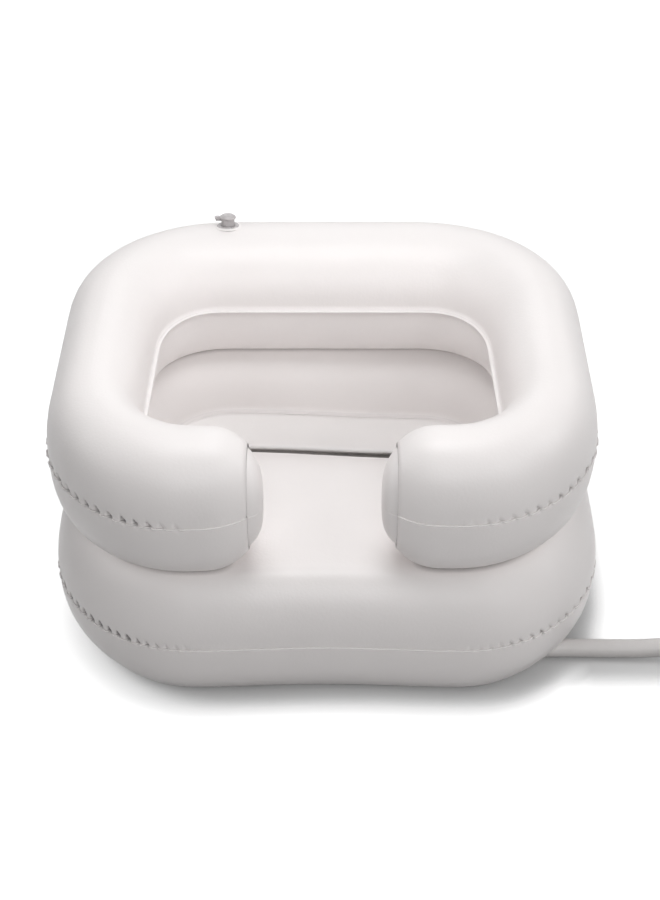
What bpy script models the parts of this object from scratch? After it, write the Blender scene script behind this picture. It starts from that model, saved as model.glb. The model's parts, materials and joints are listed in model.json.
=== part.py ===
"""Portable shampoo basin: stacked air rings, film floor, drain, air valves and a hose with a slide clamp."""

import math

import bmesh
import bpy
from mathutils import Matrix, Vector

# All sizes are metres. +X is to the user's right, +Y to the back, +Z up, and the basin stands on Z = 0.
FIT_GAP = 0.0003
CUT_OVERRUN = 0.006

# Air rings: a wide lower ring with a cushion across its front, and an upper ring open at the neck.
RING_HEIGHT = 0.146
RING_SQUASH = 0.004
TOP_ROUND_POWER = 0.92
UNDER_ROUND_POWER = 0.74
LOWER_HALF_WIDTH = 0.288
LOWER_FRONT = -0.286
LOWER_BACK = 0.286
LOWER_CORNER_X = 0.150
LOWER_CORNER_Y = 0.170
LOWER_BACK_CORNER_Y = 0.172
RING_FLARE = 0.072
WELL_HALF_WIDTH = 0.190
WELL_FRONT = 0.010
WELL_BACK = 0.148
WELL_CORNER_X = 0.080
WELL_CORNER_Y = 0.062
UPPER_HALF_WIDTH = 0.280
UPPER_FRONT = -0.270
UPPER_BACK = 0.286
UPPER_CORNER_X = 0.146
UPPER_CORNER_Y = 0.166
UPPER_BACK_CORNER_Y = 0.172
BOWL_HALF_WIDTH = 0.1925
BOWL_FRONT = -0.167
BOWL_BACK = 0.147
BOWL_CORNER_X = 0.064
BOWL_CORNER_Y = 0.088
NECK_HALF_GAP = 0.0735
NECK_END_SHARE = 0.74
NECK_TAPER_LENGTH = 0.050
NECK_TAPER_POWER = 2.7
NECK_BOW = 0.005
NECK_BOW_LENGTH = 0.100
NECK_CAP_BULGE = 0.015
NECK_CAP_POWER = 2.4
WELD_LIP = 0.0045
WELD_THICKNESS = 0.0014
INNER_BEAD = 0.0018
CUSHION_OUTER_SHARE = 0.17
CUSHION_INNER_SHARE = 0.42
QUARTER_STEPS = 5
CORNER_STEPS = 8
STRAIGHT_STEPS = 3
NECK_STEPS = 6
NECK_CAP_STEPS = 6

# Floor film: a sloping shelf behind a trough that runs along the cushion and back under the shelf's edge.
# Insets count from the level above.
FILM_THICKNESS = 0.0010
SHELF_INSET = 0.018
SHELF_FRONT_INSET = 0.0045
SHELF_BACK_INSET = 0.070
SHELF_DROP = 0.009
SHELF_CORNER_X = 0.062
SHELF_CORNER_Y = 0.031
UNDERCUT_INSET = 0.006
UNDERCUT_REACH = 0.022
UNDERCUT_DROP = 0.018
TROUGH_INSET = 0.012
TROUGH_FRONT_INSET = 0.0015
TROUGH_REACH = 0.008
TROUGH_Z = 0.032
TROUGH_CORNER_X = 0.044
TROUGH_CORNER_Y = 0.022

# Drain near the trough's end, with its parts stacked on one upright axis.
DRAIN_INSET = 0.040
DRAIN_FLANGE_RADIUS = 0.019
DRAIN_FLANGE_THICKNESS = 0.0020
DRAIN_TUBE_RADIUS = 0.0110
DRAIN_BORE_RADIUS = 0.0085
STRAINER_SEAT_RADIUS = 0.0100
STRAINER_THICKNESS = 0.0014
STRAINER_SLOT_COUNT = 5
STRAINER_SLOT_WIDTH = 0.0018
DRAIN_NUT_RADIUS = 0.0165
DRAIN_NUT_HEIGHT = 0.0050
DRAIN_NUT_FLUTES = 8
DRAIN_NUT_FLUTE_DEPTH = 0.0015
ELBOW_RADIUS = 0.0098
ELBOW_BORE_RADIUS = 0.0068
ELBOW_REACH = 0.022

# Drain hose, lying on the table. The routes are steps chosen by hand: shares of the way from the elbow to
# the exit, then distances from the exit, then distances from the clamp.
HOSE_RADIUS = 0.010
HOSE_EXIT_INSET = 0.047
HOSE_EXIT_SETBACK = 0.071
HOSE_STEP = 0.045
HOSE_GROOVE_CLEARANCE = 0.0008
GROOVE_STEPS = 6
HOSE_SIDE_RESOLUTION = 2
UNDER_HOSE_SHARES = [(0.02, 0.29), (0.12, 0.55), (0.33, 0.78), (0.60, 0.94)]
FREE_HOSE_ROUTE = [(0.059, -0.0008, 0.0), (0.099, -0.0016, 0.0008)]
LEAD_HOSE_ROUTE = [(0.060, -0.0001, -0.0011)]
ROUTE_FINENESS = 24
ROUTE_TOLERANCE = 1e-9

# Slide clamp on the hose: the plate stands across it and moves along Y.
CLAMP_DISTANCE = 0.164
CLAMP_SIDESTEP = 0.002
CLAMP_THICKNESS = 0.0040
CLAMP_WALL = 0.0030
CLAMP_CLEARANCE = 0.0004
CLAMP_SLOT_LENGTH = 0.022
CLAMP_SLOT_HEIGHT = 0.0055
CLAMP_CORNER = 0.0040
CLAMP_GRIP_REACH = 0.0070
PINCH_HALF_LENGTH = 0.010

# Neat coil of the rest of the hose, and the strap that holds it.
COIL_DISTANCE = 0.140
COIL_RADIUS = 0.118
COIL_TURN_STEP = 0.0215
COIL_TURNS = 1.15
COIL_POINTS_PER_TURN = 24
COIL_SIDE_RESOLUTION = 1
COIL_TIE_ANGLE = math.radians(-60)
COIL_TIE_CLEARANCE = 0.0007
COIL_TIE_WIDTH = 0.008
COIL_TIE_THICKNESS = 0.0012
TIE_STEPS = 6

# Air valves: a welded base, a stem that pushes in, a tethered cap and an inner flap.
VALVE_BASE_RADIUS = 0.0165
VALVE_BASE_THICKNESS = 0.0016
VALVE_COLLAR_RADIUS = 0.0100
VALVE_COLLAR_HEIGHT = 0.0006
VALVE_STEM_RADIUS = 0.0080
VALVE_STEM_BORE = 0.0055
VALVE_STEM_OUTSIDE = 0.0095
VALVE_STEM_CLEARANCE = 0.0003
VALVE_STOP_RADIUS = 0.0100
VALVE_STOP_THICKNESS = 0.0012
VALVE_CAP_RADIUS = 0.0095
VALVE_CAP_THICKNESS = 0.0046
VALVE_PLUG_RADIUS = 0.0046
VALVE_PLUG_TIP_RADIUS = 0.0032
VALVE_PLUG_LENGTH = 0.0035
VALVE_STRAP_WIDTH = 0.0060
VALVE_STRAP_THICKNESS = 0.0030
VALVE_HINGE_REACH = 0.0154
VALVE_HINGE_DROP = 0.00075
VALVE_LUG_THICKNESS = 0.0015
VALVE_LUG_GAP = 0.0008
VALVE_FLAP_RADIUS = 0.0065
VALVE_FLAP_THICKNESS = 0.0008
VALVE_POCKET_RADIUS = 0.0130
VALVE_POCKET_DEPTH = 0.034
VALVE_X = -0.1173
UPPER_VALVE_ANGLE = math.radians(83)
LOWER_VALVE_ANGLE = math.radians(40)

ROUND_SIDES = 24
SHARP_ANGLE = math.radians(35)
SIDE_SHARE = 0.5

# Heights and places worked out from the sizes above.
LOWER_MID_Z = RING_HEIGHT / 2
SHELF_EDGE_Z = LOWER_MID_Z - SHELF_DROP
UPPER_MID_Z = RING_HEIGHT * 1.5 + FIT_GAP
SHELF_HALF_WIDTH = WELL_HALF_WIDTH - SHELF_INSET
SHELF_FRONT = WELL_FRONT + SHELF_FRONT_INSET
SHELF_BACK = WELL_BACK - SHELF_BACK_INSET
TROUGH_HALF_LENGTH = SHELF_HALF_WIDTH - TROUGH_INSET
TROUGH_FRONT = SHELF_FRONT + TROUGH_FRONT_INSET
TROUGH_BACK = SHELF_BACK + TROUGH_REACH
DRAIN_X = TROUGH_HALF_LENGTH - DRAIN_INSET
DRAIN_Y = (TROUGH_FRONT + TROUGH_BACK) / 2
HOSE_EXIT_X = LOWER_HALF_WIDTH - HOSE_EXIT_INSET
HOSE_EXIT_Y = LOWER_FRONT + HOSE_EXIT_SETBACK
CLAMP_X = HOSE_EXIT_X + CLAMP_DISTANCE
CLAMP_Y = HOSE_EXIT_Y - CLAMP_SIDESTEP
CLAMP_HOSE_Z = CLAMP_WALL + HOSE_RADIUS + CLAMP_CLEARANCE + FIT_GAP
PINCH_START_X = CLAMP_X - PINCH_HALF_LENGTH
PINCH_END_X = CLAMP_X + PINCH_HALF_LENGTH
COIL_CENTRE_X = CLAMP_X + COIL_DISTANCE
COIL_Z = HOSE_RADIUS + COIL_TIE_CLEARANCE + COIL_TIE_THICKNESS
VALVE_HINGE_Z = VALVE_STEM_OUTSIDE - VALVE_HINGE_DROP
ELBOW_TOP = HOSE_RADIUS + DRAIN_TUBE_RADIUS


def clear_scene():
    for item in list(bpy.data.objects):
        bpy.data.objects.remove(item, do_unlink=True)


def make_material(name, colour, roughness, metallic=0.0):
    material = bpy.data.materials.new(name)
    material.use_nodes = True
    shader = material.node_tree.nodes["Principled BSDF"]
    shader.inputs["Base Color"].default_value = (*colour, 1.0)
    shader.inputs["Roughness"].default_value = roughness
    shader.inputs["Metallic"].default_value = metallic
    return material


def make_object(name, bm, material):
    """Turn a finished bmesh into a smooth-shaded object that faces outward."""
    bmesh.ops.recalc_face_normals(bm, faces=bm.faces)
    mesh = bpy.data.meshes.new(name)
    bm.to_mesh(mesh)
    bm.free()
    mesh.shade_smooth()
    mesh.set_sharp_from_angle(angle=SHARP_ANGLE)
    mesh.materials.append(material)
    item = bpy.data.objects.new(name, mesh)
    bpy.context.collection.objects.link(item)
    return item


def make_empty(name, location, rotation=(0.0, 0.0, 0.0)):
    item = bpy.data.objects.new(name, None)
    item.location = location
    item.rotation_euler = rotation
    bpy.context.collection.objects.link(item)
    return item


def apply_boolean(target, tool, operation):
    """Join or cut TARGET with TOOL, which stays in the scene as a hidden guide."""
    tool.hide_render = True
    tool.display_type = "WIRE"
    step = target.modifiers.new(tool.name, "BOOLEAN")
    step.operation = operation
    step.object = tool


def join_rows(bm, low, high):
    """Skin two rows of vertices, either of which may be a single point."""
    count = max(len(low), len(high))
    for i in range(count):
        j = (i + 1) % count
        corners = [low[i % len(low)], low[j % len(low)], high[j % len(high)], high[i % len(high)]]
        face = list(dict.fromkeys(corners))
        if len(face) > 2:
            bm.faces.new(face)


def loft(rows, closed):
    """Skin rows of equal length; an open run gets a flat face at each end."""
    bm = bmesh.new()
    verts = [[bm.verts.new(point) for point in row] for row in rows]
    for low, high in zip(verts, verts[1:]):
        join_rows(bm, low, high)
    if closed:
        join_rows(bm, verts[-1], verts[0])
    else:
        bm.faces.new(verts[0])
        bm.faces.new(verts[-1])
    return bm


def turned(profile, closed):
    """Revolve (radius, height) points about Z; a closed profile leaves a bore."""
    angles = [math.tau * i / ROUND_SIDES for i in range(ROUND_SIDES)]
    bm = bmesh.new()
    rows = []
    for radius, height in profile:
        if radius == 0:
            rows.append([bm.verts.new((0, 0, height))])
            continue
        rows.append([bm.verts.new((radius * math.cos(a), radius * math.sin(a), height)) for a in angles])
    for low, high in zip(rows, rows[1:]):
        join_rows(bm, low, high)
    if closed:
        join_rows(bm, rows[-1], rows[0])
    return bm


def box(low, high):
    """An upright box between two corners."""
    centre = (Vector(low) + Vector(high)) / 2
    size = Vector(high) - Vector(low)
    bm = bmesh.new()
    bmesh.ops.create_cube(bm, size=1.0, matrix=Matrix.Translation(centre) @ Matrix.Diagonal((*size, 1.0)))
    return bm


def half_outline(first_x, half_width, front, back, corner_x, corner_y, back_corner_y=0.0, flare=0.0):
    """Right half of a rounded outline, from FIRST_X at the front round to the middle of the back."""
    back_corner_y = back_corner_y or corner_y
    start_x = half_width - corner_x
    turns = [math.pi / 2 * i / CORNER_STEPS for i in range(CORNER_STEPS)]
    steps = [i / STRAIGHT_STEPS for i in range(STRAIGHT_STEPS)]
    front_count = NECK_STEPS if first_x else STRAIGHT_STEPS
    low = front + corner_y
    high = back - back_corner_y
    points = [(first_x + (start_x - first_x) * i / front_count, front) for i in range(front_count)]
    points += [(start_x + corner_x * math.sin(t), low - corner_y * math.cos(t)) for t in turns]
    points += [(half_width, low + (high - low) * s) for s in steps]
    points += [(start_x + corner_x * math.cos(t), high + back_corner_y * math.sin(t)) for t in turns]
    points += [(start_x * (1 - s), back) for s in steps]
    widened = [(x * (1 + flare * (y - front) / (back - front)), y) for x, y in points]
    return [Vector(point) for point in widened + [(0.0, back)]]


def mirrored(half, keep_first):
    """Add the left half of a run of points, sharing the middle of the back."""
    left = [Vector((-point[0], *point[1:])) for point in reversed(half[:-1])]
    return half + (left if keep_first else left[:-1])


def rounding(width, share, step, power):
    """Distance in from a seam and share of the full height at one step of a tube's rounding."""
    angle = math.pi / 2 * (step - 0.5) / QUARTER_STEPS
    reach = width * share * (1 - math.cos(angle) ** power)
    return reach, math.sin(angle) ** power


def tube_section(outer, inner, mid_z, shares, squash, weld, size=1.0):
    """Outline across an air tube: outer weld, over the top, inner weld, and back underneath."""
    width = (outer - inner).length
    outward = (outer - inner) / width
    inner = inner + outward * width * (1 - size) / 2
    width *= size
    squash = [extra * size for extra in squash]
    limit = RING_HEIGHT / 2 * size
    halves = []
    for side, extra, power in ((1, squash[0], TOP_ROUND_POWER), (-1, squash[1], UNDER_ROUND_POWER)):
        half = []
        for step in range(1, QUARTER_STEPS + 1):
            inset, rise = rounding(width, shares[0], step, power)
            half.append((width - inset, side * min((limit + extra) * rise, limit)))
        for step in range(QUARTER_STEPS, 0, -1):
            inset, rise = rounding(width, shares[1], step, power)
            half.append((inset, side * min((limit + extra) * rise, limit)))
        halves.append(half)
    edge = WELD_THICKNESS / 2
    if weld:
        outer_weld = [(width, -edge), (width + WELD_LIP, -edge), (width + WELD_LIP, edge), (width, edge)]
        inner_weld = [(0.0, edge), (-INNER_BEAD, 0.0), (0.0, -edge)]
    else:
        outer_weld = [(width, 0.0)]
        inner_weld = [(0.0, 0.0)]
    outline = outer_weld + halves[0] + inner_weld + halves[1][::-1]
    return [Vector((*(inner + outward * along), mid_z + up)) for along, up in outline]


def cushion_shares():
    """Share of each half station that is rounding, wide at the sides and short across the cushion."""
    rows = []
    for station in range(2 * CORNER_STEPS + 3 * STRAIGHT_STEPS + 1):
        turn = min(max((station - STRAIGHT_STEPS) / CORNER_STEPS, 0.0), 1.0)
        ease = turn * turn * (3 - 2 * turn)
        outer = CUSHION_OUTER_SHARE + (SIDE_SHARE - CUSHION_OUTER_SHARE) * ease
        inner = CUSHION_INNER_SHARE + (SIDE_SHARE - CUSHION_INNER_SHARE) * ease
        rows.append((outer, inner))
    return rows


def lower_outlines():
    outer = half_outline(
        0.0,
        LOWER_HALF_WIDTH,
        LOWER_FRONT,
        LOWER_BACK,
        LOWER_CORNER_X,
        LOWER_CORNER_Y,
        LOWER_BACK_CORNER_Y,
        RING_FLARE,
    )
    inner = half_outline(0.0, WELL_HALF_WIDTH, WELL_FRONT, WELL_BACK, WELL_CORNER_X, WELL_CORNER_Y)
    return outer, inner


def upper_outlines():
    """Both outlines of the upper ring's right half, its front bowed back a little towards the neck."""
    outer = half_outline(
        NECK_HALF_GAP,
        UPPER_HALF_WIDTH,
        UPPER_FRONT,
        UPPER_BACK,
        UPPER_CORNER_X,
        UPPER_CORNER_Y,
        UPPER_BACK_CORNER_Y,
        RING_FLARE,
    )
    inner = half_outline(
        NECK_HALF_GAP, BOWL_HALF_WIDTH, BOWL_FRONT, BOWL_BACK, BOWL_CORNER_X, BOWL_CORNER_Y
    )
    for point in outer:
        if point.y < 0:
            point.y += NECK_BOW * nearness(point.x, NECK_BOW_LENGTH) ** 2
    return outer, inner


def nearness(x, length):
    """One at an arm's end, falling to nothing over LENGTH."""
    return max(1 - (abs(x) - NECK_HALF_GAP) / length, 0.0)


def arm_size(point):
    """Share of its full size that the upper tube has at a place on its outer outline."""
    if point.y > 0:
        return 1.0
    return 1 - (1 - NECK_END_SHARE) * nearness(point.x, NECK_TAPER_LENGTH) ** NECK_TAPER_POWER


def make_lower_ring(material):
    """Closed lower air tube, whose front is a wide flat-topped cushion."""
    outer, inner = lower_outlines()
    shares = cushion_shares()
    pairs = list(zip(mirrored(outer, False), mirrored(inner, False), shares + shares[-2:0:-1]))
    squash = (RING_SQUASH, RING_SQUASH)
    rows = [tube_section(a, b, LOWER_MID_Z, share, squash, True) for a, b, share in pairs]
    return make_object("lower_ring", loft(rows, True), material)


def make_upper_ring(material):
    """Upper air tube, open at the neck, round on top and pressed flat underneath."""
    outer, inner = upper_outlines()
    shares = (SIDE_SHARE, SIDE_SHARE)
    rows = []
    for a, b in zip(mirrored(outer, True), mirrored(inner, True)):
        rows.append(tube_section(a, b, UPPER_MID_Z, shares, (0.0, RING_SQUASH), True, arm_size(a)))
    return make_object("upper_ring", loft(rows, False), material)


def make_end_cap(name, side, material):
    """Bulging film panel that closes one arm of the upper ring at the neck."""
    outer, inner = upper_outlines()
    shares = (SIDE_SHARE, SIDE_SHARE)
    outline = tube_section(
        outer[0], inner[0], UPPER_MID_Z, shares, (0.0, RING_SQUASH), False, NECK_END_SHARE
    )
    centre = sum(outline, Vector()) / len(outline)
    face_x = NECK_HALF_GAP - FIT_GAP
    rows = []
    for step in range(NECK_CAP_STEPS):
        size = math.cos(math.pi / 2 * step / NECK_CAP_STEPS)
        x = side * (face_x - NECK_CAP_BULGE * (1 - size ** NECK_CAP_POWER))
        row = [centre + (point - centre) * size for point in outline]
        rows.append([Vector((x, point.y, point.z)) for point in row])
    rows.append([Vector((side * (face_x - NECK_CAP_BULGE), centre.y, centre.z))])
    bm = bmesh.new()
    verts = [[bm.verts.new(point) for point in row] for row in rows]
    for low, high in zip(verts, verts[1:]):
        join_rows(bm, low, high)
    bm.faces.new(verts[0])
    return make_object(name, bm, material)


def film_row(inset, half_width, front, back, corner_x, corner_y, height):
    """One level of the floor film, as a whole rounded outline."""
    half = half_outline(
        0.0, half_width - inset, front + inset, back - inset, corner_x - inset, corner_y - inset
    )
    return [Vector((*point, height)) for point in mirrored(half, False)]


def make_basin_floor(material):
    """Welded film that falls from the inner seam over a shelf into the drain trough, undercut at its back."""
    edge = INNER_BEAD + FIT_GAP + FILM_THICKNESS
    rows = [
        film_row(edge, WELL_HALF_WIDTH, WELL_FRONT, WELL_BACK, WELL_CORNER_X, WELL_CORNER_Y, LOWER_MID_Z),
        film_row(
            0.0, SHELF_HALF_WIDTH, SHELF_FRONT, SHELF_BACK, SHELF_CORNER_X, SHELF_CORNER_Y, SHELF_EDGE_Z
        ),
        film_row(
            0.0,
            SHELF_HALF_WIDTH - UNDERCUT_INSET,
            SHELF_FRONT,
            SHELF_BACK + UNDERCUT_REACH,
            SHELF_CORNER_X,
            SHELF_CORNER_Y,
            SHELF_EDGE_Z - UNDERCUT_DROP,
        ),
        film_row(
            0.0, TROUGH_HALF_LENGTH, TROUGH_FRONT, TROUGH_BACK, TROUGH_CORNER_X, TROUGH_CORNER_Y, TROUGH_Z
        ),
    ]
    bm = bmesh.new()
    verts = [[bm.verts.new(point) for point in row] for row in rows]
    for low, high in zip(verts, verts[1:]):
        join_rows(bm, low, high)
    bm.faces.new(verts[-1])
    film = make_object("basin_floor", bm, material)
    thicken = film.modifiers.new("film", "SOLIDIFY")
    thicken.thickness = FILM_THICKNESS
    thicken.offset = -1.0
    thicken.use_even_offset = True
    hole = turned(
        [
            (0, TROUGH_Z - CUT_OVERRUN),
            (DRAIN_TUBE_RADIUS + FIT_GAP, TROUGH_Z - CUT_OVERRUN),
            (DRAIN_TUBE_RADIUS + FIT_GAP, TROUGH_Z + CUT_OVERRUN),
            (0, TROUGH_Z + CUT_OVERRUN),
        ],
        False,
    )
    cutter = make_object("guide_floor_hole", hole, material)
    cutter.location = (DRAIN_X, DRAIN_Y, 0)
    apply_boolean(film, cutter, "DIFFERENCE")
    return film


def make_drain_flange(material):
    """Flanged tube dropped through the floor film, with a seat for the strainer."""
    under = TROUGH_Z + FIT_GAP
    top = under + DRAIN_FLANGE_THICKNESS
    seat = top - STRAINER_THICKNESS - FIT_GAP
    profile = [
        (DRAIN_BORE_RADIUS, ELBOW_TOP + FIT_GAP),
        (DRAIN_TUBE_RADIUS, ELBOW_TOP + FIT_GAP),
        (DRAIN_TUBE_RADIUS, under),
        (DRAIN_FLANGE_RADIUS, under),
        (DRAIN_FLANGE_RADIUS, under + DRAIN_FLANGE_THICKNESS / 2),
        (DRAIN_FLANGE_RADIUS - DRAIN_FLANGE_THICKNESS / 2, top),
        (STRAINER_SEAT_RADIUS, top),
        (STRAINER_SEAT_RADIUS, seat),
        (DRAIN_BORE_RADIUS, seat),
    ]
    flange = make_object("drain_flange", turned(profile, True), material)
    flange.location = (DRAIN_X, DRAIN_Y, 0)
    return flange


def make_drain_strainer(material):
    """Slotted disc that catches hair, seated in the flange."""
    top = TROUGH_Z + FIT_GAP + DRAIN_FLANGE_THICKNESS
    radius = STRAINER_SEAT_RADIUS - FIT_GAP
    profile = [(0, top - STRAINER_THICKNESS), (radius, top - STRAINER_THICKNESS), (radius, top), (0, top)]
    strainer = make_object("drain_strainer", turned(profile, False), material)
    strainer.location = (DRAIN_X, DRAIN_Y, 0)
    pitch = 2 * DRAIN_BORE_RADIUS / STRAINER_SLOT_COUNT
    for slot in range(STRAINER_SLOT_COUNT):
        x = (slot - (STRAINER_SLOT_COUNT - 1) / 2) * pitch
        reach = math.sqrt(DRAIN_BORE_RADIUS ** 2 - (abs(x) + STRAINER_SLOT_WIDTH / 2) ** 2)
        low = (x - STRAINER_SLOT_WIDTH / 2, -reach, top - CUT_OVERRUN)
        high = (x + STRAINER_SLOT_WIDTH / 2, reach, top + CUT_OVERRUN)
        cutter = make_object(f"guide_strainer_slot_{slot}", box(low, high), material)
        cutter.location = strainer.location
        apply_boolean(strainer, cutter, "DIFFERENCE")
    return strainer


def make_drain_nut(material):
    """Fluted ring nut that clamps the film from below."""
    top = TROUGH_Z - FILM_THICKNESS - FIT_GAP
    low = top - DRAIN_NUT_HEIGHT
    bore = DRAIN_TUBE_RADIUS + FIT_GAP
    count = DRAIN_NUT_FLUTES * 3
    rows = []
    for height, inside in ((low, True), (low, False), (top, False), (top, True)):
        row = []
        for i in range(count):
            flute = DRAIN_NUT_FLUTE_DEPTH if i % 3 == 0 else 0
            radius = bore if inside else DRAIN_NUT_RADIUS - flute
            angle = math.tau * i / count
            row.append((radius * math.cos(angle), radius * math.sin(angle), height))
        rows.append(row)
    nut = make_object("drain_nut", loft(rows, True), material)
    nut.location = (DRAIN_X, DRAIN_Y, 0)
    return nut


def round_bar(name, radius, length, material):
    """A plain cylinder from the origin along +Z."""
    return make_object(name, turned([(0, 0), (radius, 0), (radius, length), (0, length)], False), material)


def make_drain_elbow(material):
    """Elbow under the drain that turns the water into the hose."""
    elbow = round_bar("drain_elbow", DRAIN_TUBE_RADIUS, ELBOW_TOP - FIT_GAP, material)
    elbow.location = (DRAIN_X, DRAIN_Y, FIT_GAP)
    outlet = round_bar("guide_elbow_outlet", ELBOW_RADIUS, ELBOW_REACH, material)
    well = round_bar("guide_elbow_well", ELBOW_BORE_RADIUS, ELBOW_TOP, material)
    passage = round_bar("guide_elbow_passage", ELBOW_BORE_RADIUS, ELBOW_REACH + CUT_OVERRUN, material)
    for part in (outlet, passage):
        part.location = (DRAIN_X, DRAIN_Y, HOSE_RADIUS)
        part.rotation_euler = (math.pi / 2, 0, 0)
    well.location = (DRAIN_X, DRAIN_Y, HOSE_RADIUS)
    apply_boolean(elbow, outlet, "UNION")
    apply_boolean(elbow, well, "DIFFERENCE")
    apply_boolean(elbow, passage, "DIFFERENCE")
    return elbow


def smooth_route(points, step):
    """Evenly spaced points along a smooth curve through the chosen ones."""
    nodes = [Vector(point) for point in points]
    nodes = [nodes[0] * 2 - nodes[1]] + nodes + [nodes[-1] * 2 - nodes[-2]]
    dense = []
    for a, b, c, d in zip(nodes, nodes[1:], nodes[2:], nodes[3:]):
        for i in range(ROUTE_FINENESS):
            t = i / ROUTE_FINENESS
            bend = a * 2 - b * 5 + c * 4 - d
            twist = b * 3 - a - c * 3 + d
            dense.append((b * 2 + (c - a) * t + bend * t * t + twist * t ** 3) / 2)
    dense.append(nodes[-2])
    lengths = [0.0]
    for low, high in zip(dense, dense[1:]):
        lengths.append(lengths[-1] + (high - low).length)
    count = max(round(lengths[-1] / step), 1)
    route = []
    for i in range(count + 1):
        target = lengths[-1] * i / count
        k = max(j for j, length in enumerate(lengths) if length <= target + ROUTE_TOLERANCE)
        if k == len(dense) - 1:
            route.append(dense[-1])
            continue
        share = (target - lengths[k]) / (lengths[k + 1] - lengths[k])
        route.append(dense[k].lerp(dense[k + 1], max(share, 0.0)))
    return route


def make_tube(name, route, radius, resolution, material):
    """A round solid along a route, with flat ends."""
    curve = bpy.data.curves.new(name, "CURVE")
    curve.dimensions = "3D"
    curve.bevel_depth = radius
    curve.bevel_resolution = resolution
    curve.use_fill_caps = True
    spline = curve.splines.new("POLY")
    spline.points.add(len(route) - 1)
    for point, place in zip(spline.points, route):
        point.co = (*place, 1.0)
    curve.materials.append(material)
    tube = bpy.data.objects.new(name, curve)
    bpy.context.collection.objects.link(tube)
    return tube


def hose_route(start, leaving, middle, end, arriving):
    """A smooth run through the chosen points, straight for one diameter at each end."""
    first = Vector(start) + Vector(leaving) * 2 * HOSE_RADIUS
    last = Vector(end) - Vector(arriving) * 2 * HOSE_RADIUS
    return [Vector(start)] + smooth_route([first] + middle + [last], HOSE_STEP) + [Vector(end)]


def under_hose_route():
    """From the elbow's mouth, under the cushion, to the exit beneath the right front corner."""
    mouth = Vector((DRAIN_X, DRAIN_Y - ELBOW_REACH - FIT_GAP, HOSE_RADIUS))
    leave = Vector((HOSE_EXIT_X, HOSE_EXIT_Y, HOSE_RADIUS))
    way = leave - mouth
    middle = [mouth + Vector((way.x * across, way.y * forward, 0)) for across, forward in UNDER_HOSE_SHARES]
    return hose_route(mouth, (0, -1, 0), middle, leave, (1, 0, 0))


def free_hose_route():
    """From the exit along the table up into the clamp."""
    start = (HOSE_EXIT_X + FIT_GAP, HOSE_EXIT_Y, HOSE_RADIUS)
    middle = [Vector((HOSE_EXIT_X, HOSE_EXIT_Y, HOSE_RADIUS)) + Vector(step) for step in FREE_HOSE_ROUTE]
    end = (PINCH_START_X - FIT_GAP, CLAMP_Y, CLAMP_HOSE_Z)
    return hose_route(start, (1, 0, 0), middle, end, (1, 0, 0))


def lead_hose_route():
    """From the clamp to the start of the coil."""
    start = (PINCH_END_X + FIT_GAP, CLAMP_Y, CLAMP_HOSE_Z)
    middle = [Vector((CLAMP_X, CLAMP_Y, CLAMP_HOSE_Z)) + Vector(step) for step in LEAD_HOSE_ROUTE]
    end = (COIL_CENTRE_X - 2 * HOSE_RADIUS - FIT_GAP, CLAMP_Y, COIL_Z)
    return hose_route(start, (1, 0, 0), middle, end, (1, 0, 0))


def coil_route():
    """A flat inward spiral that starts with a straight run and ends free."""
    centre = Vector((COIL_CENTRE_X, CLAMP_Y + COIL_RADIUS, COIL_Z))
    count = round(COIL_TURNS * COIL_POINTS_PER_TURN)
    turns = []
    for i in range(count + 1):
        turn = i / COIL_POINTS_PER_TURN
        angle = math.tau * turn - math.pi / 2
        radius = COIL_RADIUS - COIL_TURN_STEP * turn
        turns.append(centre + Vector((radius * math.cos(angle), radius * math.sin(angle), 0)))
    start = turns[0] - Vector((2 * HOSE_RADIUS, 0, 0))
    return [start] + turns


def least_self_gap(route, radius):
    """Least space between parts of a tube that are more than three diameters apart along it."""
    along = [0.0]
    for low, high in zip(route, route[1:]):
        along.append(along[-1] + (high - low).length)
    least = math.inf
    for i, low in enumerate(route):
        for j in range(i + 1, len(route)):
            if along[j] - along[i] > 6 * radius:
                least = min(least, (route[j] - low).length - 2 * radius)
    return least


def make_hose_groove(ring, material):
    """Press the hose's path up into the underside of the lower ring."""
    radius = HOSE_RADIUS + HOSE_GROOVE_CLEARANCE
    route = under_hose_route()
    outward = Vector((HOSE_EXIT_X + LOWER_CORNER_X, HOSE_EXIT_Y, HOSE_RADIUS))
    route = route + [outward]
    rows = []
    for i, place in enumerate(route):
        before = route[max(i - 1, 0)]
        after = route[min(i + 1, len(route) - 1)]
        run = (after - before).normalized()
        across = Vector((run.y, -run.x, 0))
        row = [place + across * radius + Vector((0, 0, -HOSE_RADIUS - CUT_OVERRUN))]
        for step in range(GROOVE_STEPS + 1):
            angle = math.pi * step / GROOVE_STEPS
            row.append(place + across * radius * math.cos(angle) + Vector((0, 0, radius * math.sin(angle))))
        row.append(place - across * radius + Vector((0, 0, -HOSE_RADIUS - CUT_OVERRUN)))
        rows.append(row)
    cutter = make_object("guide_hose_groove", loft(rows, False), material)
    apply_boolean(ring, cutter, "DIFFERENCE")


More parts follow.
